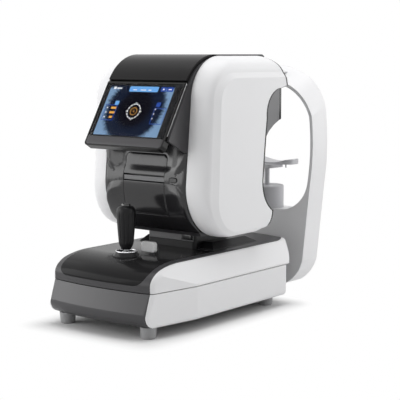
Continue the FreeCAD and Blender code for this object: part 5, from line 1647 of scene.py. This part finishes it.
@dataclass
class Fittings(Assembly):
    """Underside screws, threaded lift screw, foot treads, dots of the mire ring and the strip's window."""

    screw_radius: float = 0.0030
    screw_head: float = 0.0015
    screw_slot: float = 0.0008
    thread_pitch: float = 0.004
    thread_ridge: float = 0.0006
    thread_steps: int = 20
    pip_rings: tuple[Ring, ...] = (Ring(18, 0.0105, 0.0016, 0.0016), Ring(11, 0.0065, 0.0016, 0.0016))
    pip_tall: float = 0.0008
    lens_rings: tuple[Ring, ...] = (Ring(24, 0.0200, 0.0014, 0.0012), Ring(30, 0.0245, 0.0014, 0.0012))
    lens_tall: float = 0.0006
    groove: float = 0.0010
    window_inner: float = 0.026
    window_outer: float = 0.0015
    window_down: float = 0.0060
    window_up: float = 0.0052
    window_corner: float = 0.0010
    window_thick: float = 0.0003
    window_edge: float = 0.0001
    window_step: float = 0.01

    def build(self) -> None:
        """Build the fittings."""
        self.screws()
        self.lift_screw()
        self.treads()
        self.mire_dots()
        self.strip_window()

    def screws(self) -> None:
        """Cross-recess screws under the base, at the CAD screws' places."""
        low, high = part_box("base_screws")
        seeds = [Vector((p.x, p.y, low.z + self.screw_head / 2)) for p in self.islands("base_screws")]
        sizes = {"Radius": self.screw_radius, "Height": self.screw_head, "Slot": self.screw_slot,
                 "Shank": high.z - low.z - self.screw_head}
        mesh = grown_mesh(screw_tree(), sizes, STEEL, seeds)
        self.seat(new_piece("underside_screws", mesh), Body.BASE, Slot.STEEL, "base_screws")

    def islands(self, node: str) -> list[Vector]:
        """Middles of the separate solids of a node.

        Args:
            node: the node.

        Returns:
            One point per solid.
        """
        form = bmesh.new()
        form.from_mesh(self.frame["nodes"][node].data)
        bmesh.ops.remove_doubles(form, verts=form.verts, dist=1e-6)
        left = set(form.verts)
        middles = []
        while left:
            island, edge = set(), [min(left, key=lambda v: v.index)]
            while edge:
                vert = edge.pop()
                if vert in island:
                    continue
                island.add(vert)
                edge += [e.other_vert(vert) for e in vert.link_edges]
            left -= island
            spans = [[v.co[k] for v in island] for k in range(3)]
            middles.append(Vector([(min(span) + max(span)) / 2 for span in spans]))
        form.free()
        return sorted(middles, key=lambda p: (round(p.x, 4), round(p.y, 4), round(p.z, 4)))

    def lift_screw(self) -> None:
        """The lift screw with its thread."""
        low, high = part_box("lift_screw")
        tall = high.z - low.z - 2 * self.thread_ridge
        sizes = {"Radius": (high.x - low.x) / 2, "Turns": tall / self.thread_pitch, "Height": tall,
                 "Ridge": self.thread_ridge, "Resolution": self.thread_steps}
        mesh = grown_mesh(thread_tree(), sizes, STEEL)
        foot = ((low.x + high.x) / 2, (low.y + high.y) / 2, low.z + self.thread_ridge)
        mesh.transform(Matrix.Translation(foot))
        self.seat(new_piece("threaded_lift_screw", mesh), Body.SCREW, Slot.STEEL, "lift_screw")

    def treads(self) -> None:
        """Rings of small pips under the feet."""
        meshes = []
        for foot in self.islands("feet"):
            for ring in self.pip_rings:
                mesh = ring.mesh(self.pip_tall, FOOT_GREY)
                mesh.transform(Matrix.Translation((foot.x, foot.y, self.pip_tall / 2)))
                meshes.append(mesh)
        self.seat(join_meshes("foot_pips", meshes, FOOT_GREY), Body.BASE, Slot.RUBBER)

    def mire_dots(self) -> None:
        """Rings of small lenses in the mire ring's two grooves."""
        low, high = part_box("mire_ring")
        middle = (low + high) / 2
        place = Matrix.Translation((middle.x, high.y - self.groove + self.lens_tall / 2, middle.z))
        turn = Matrix.Rotation(-math.pi / 2, 4, "X")
        meshes = [ring.mesh(self.lens_tall, FROSTED) for ring in self.lens_rings]
        for mesh in meshes:
            mesh.transform(place @ turn)
        self.seat(join_meshes("mire_lenses", meshes, FROSTED), Body.HEAD, Slot.MIRE)

    def strip_window(self) -> None:
        """Dark window at the right end of the pedestal's strip."""
        low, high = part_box("pedestal_strip")
        middle, corner = (low.z + high.z) / 2, self.window_corner
        outline = round_box(high.x - self.window_inner, high.x - self.window_outer, middle - self.window_down,
                            middle + self.window_up, corner, corner, 3)
        window = Plate(lambda x, z, depth: Vector((x, low.y - self.window_thick + depth, z)), outline,
                       self.window_thick, self.window_edge, self.window_step)
        self.seat(new_piece("strip_window", window.mesh(), BLACK_GLOSS), Body.STAGE, Slot.BLACK)


def dress_frame(frame: dict) -> None:
    """Give every CAD node the material of its slot, or its own.

    Args:
        frame: the loaded frame.
    """
    for part in frame["record"]["subparts"]:
        finish = NODE_LOOKS.get(part["node"], SLOT_LOOKS[Slot(part["material_slot"])])
        piece = frame["nodes"][part["node"]]
        if not piece.data.materials:
            piece.data.materials.append(finish.material())
        for holder in piece.material_slots:
            holder.material = finish.material()
        LOG.info("%s has %s", part["node"], finish.name)


# ---------------------------------------------------------------- studio
@dataclass(frozen=True)
class Softbox:
    """A square area lamp: where it stands, what it faces, its side and its power in watts."""

    name: str
    at: Place
    to: Place
    size: float
    power: float

    def light(self) -> None:
        """Put the lamp into the scene."""
        data = bpy.data.lights.new(self.name, "AREA")
        data.size = self.size
        data.energy = self.power
        lamp = bpy.data.objects.new(self.name, data)
        lamp.location = self.at
        lamp.rotation_euler = (Vector(self.to) - Vector(self.at)).to_track_quat("-Z", "Y").to_euler()
        bpy.context.collection.objects.link(lamp)


@dataclass
class Studio:
    """Camera, lamps, floor and world.

    The floor is seen as white further than shadow_reach from the object's footprint.
    """

    camera_at: Place = (1.2554, -1.5787, 0.4411)
    camera_turn: Place = (90 - 7.14, 0.0, 38.29)
    lens: float = 104.72
    softboxes: tuple[Softbox, ...] = (
        Softbox("front left softbox", (-1.62, -1.56, 0.75), (0.0, -0.05, 0.25), 1.7, 22.0),
        Softbox("left softbox", (-2.20, -0.45, 0.80), (0.0, 0.0, 0.25), 2.4, 6.0),
        Softbox("front softbox", (-0.45, -2.30, 0.60), (0.0, -0.1, 0.25), 0.8, 4.0),
        Softbox("right rear softbox", (1.65, 1.40, 0.85), (0.0, 0.05, 0.25), 2.0, 19.5),
        Softbox("top softbox", (0.1, 0.1, 2.1), (0.0, 0.0, 0.2), 1.9, 28.0))
    ambient: float = 0.34
    floor_half: float = 6.0
    floor_grey: Colour = (0.80, 0.80, 0.80)
    floor_roughness: float = 0.9
    footprint_middle: Place = (0.005, -0.075, 0.0)
    footprint_half: Place = (0.105, 0.185, 0.0)
    shadow_reach: float = 0.055

    def build(self) -> None:
        """Make the camera, the lamps, the floor and the world."""
        self.camera()
        for softbox in self.softboxes:
            softbox.light()
        self.floor()
        self.world()

    def camera(self) -> None:
        """Make the camera."""
        data = bpy.data.cameras.new("view")
        data.lens = self.lens
        camera = bpy.data.objects.new("view", data)
        camera.location = self.camera_at
        camera.rotation_euler = [math.radians(turn) for turn in self.camera_turn]
        bpy.context.collection.objects.link(camera)
        bpy.context.scene.camera = camera
        bpy.context.scene.view_settings.view_transform = "Standard"

    def floor(self) -> None:
        """Make the pale floor, which is plain white to the eye away from the object."""
        half = self.floor_half
        mesh = bpy.data.meshes.new("floor")
        corners = [(-half, -half, 0), (half, -half, 0), (half, half, 0), (-half, half, 0)]
        mesh.from_pydata(corners, [], [(0, 1, 2, 3)])
        floor = bpy.data.objects.new("floor", mesh)
        bpy.context.collection.objects.link(floor)
        material = bpy.data.materials.new("pale floor")
        material.use_nodes = True
        tree = material.node_tree
        shader = Wiring(tree)
        surface = tree.nodes["Principled BSDF"]
        surface.inputs["Base Color"].default_value = rgba(self.floor_grey)
        surface.inputs["Roughness"].default_value = self.floor_roughness
        surface.inputs["Specular IOR Level"].default_value = 0.0
        fade = shader.math("MULTIPLY", shader.ramp(self.apart(shader), 0.0, self.shadow_reach),
                           self.white_rays(shader))
        glow = shader.add("ShaderNodeEmission", {"Color": (1, 1, 1, 1), "Strength": 1.0})
        mixed = shader.add("ShaderNodeMixShader", {0: fade, 1: surface.outputs[0], 2: glow.outputs[0]})
        tree.links.new(mixed.outputs[0], tree.nodes["Material Output"].inputs["Surface"])
        mesh.materials.append(material)

    def apart(self, shader: Wiring) -> Socket:
        """Distance of a place on the floor from the object's footprint.

        Args:
            shader: the floor's tree.

        Returns:
            The distance.
        """
        way = shader.place()
        for step, value in (("SUBTRACT", self.footprint_middle), ("ABSOLUTE", None),
                            ("SUBTRACT", self.footprint_half), ("MAXIMUM", (0, 0, 0))):
            given = {0: way} if value is None else {0: way, 1: value}
            way = shader.add("ShaderNodeVectorMath", given, operation=step).outputs[0]
        return shader.add("ShaderNodeVectorMath", {0: way}, operation="LENGTH").outputs["Value"]

    @staticmethod
    def white_rays(shader: Wiring) -> Socket:
        """Tell the rays that the eye, a mirror or glass sends from the rest.

        Args:
            shader: the tree of the floor or the world.

        Returns:
            1 for such rays, else 0.
        """
        rays = shader.add("ShaderNodeLightPath")
        seen = shader.math("MAXIMUM", rays.outputs["Is Camera Ray"], rays.outputs["Is Glossy Ray"])
        return shader.math("MAXIMUM", seen, rays.outputs["Is Transmission Ray"])

    def world(self) -> None:
        """Make the world: white where it is seen, a plain grey for the light."""
        world = bpy.data.worlds.new("studio")
        bpy.context.scene.world = world
        world.use_nodes = True
        shader = Wiring(world.node_tree)
        ground = world.node_tree.nodes["Background"]
        seen = self.white_rays(shader)
        level = shader.math("ADD", shader.math("MULTIPLY", seen, 1.0 - self.ambient), self.ambient)
        shader.feed(ground.inputs["Strength"], level)
        ground.inputs["Color"].default_value = (1, 1, 1, 1)


def main() -> None:
    """Build the scene."""
    logging.basicConfig(level=logging.INFO, format="%(name)s: %(message)s")
    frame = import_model()
    dress_frame(frame)
    for kind in (FrontPanel, Display, Joystick, FaceRest, Fittings):
        kind(frame).build()
    Studio().build()


if __name__ == "__main__":
    main()
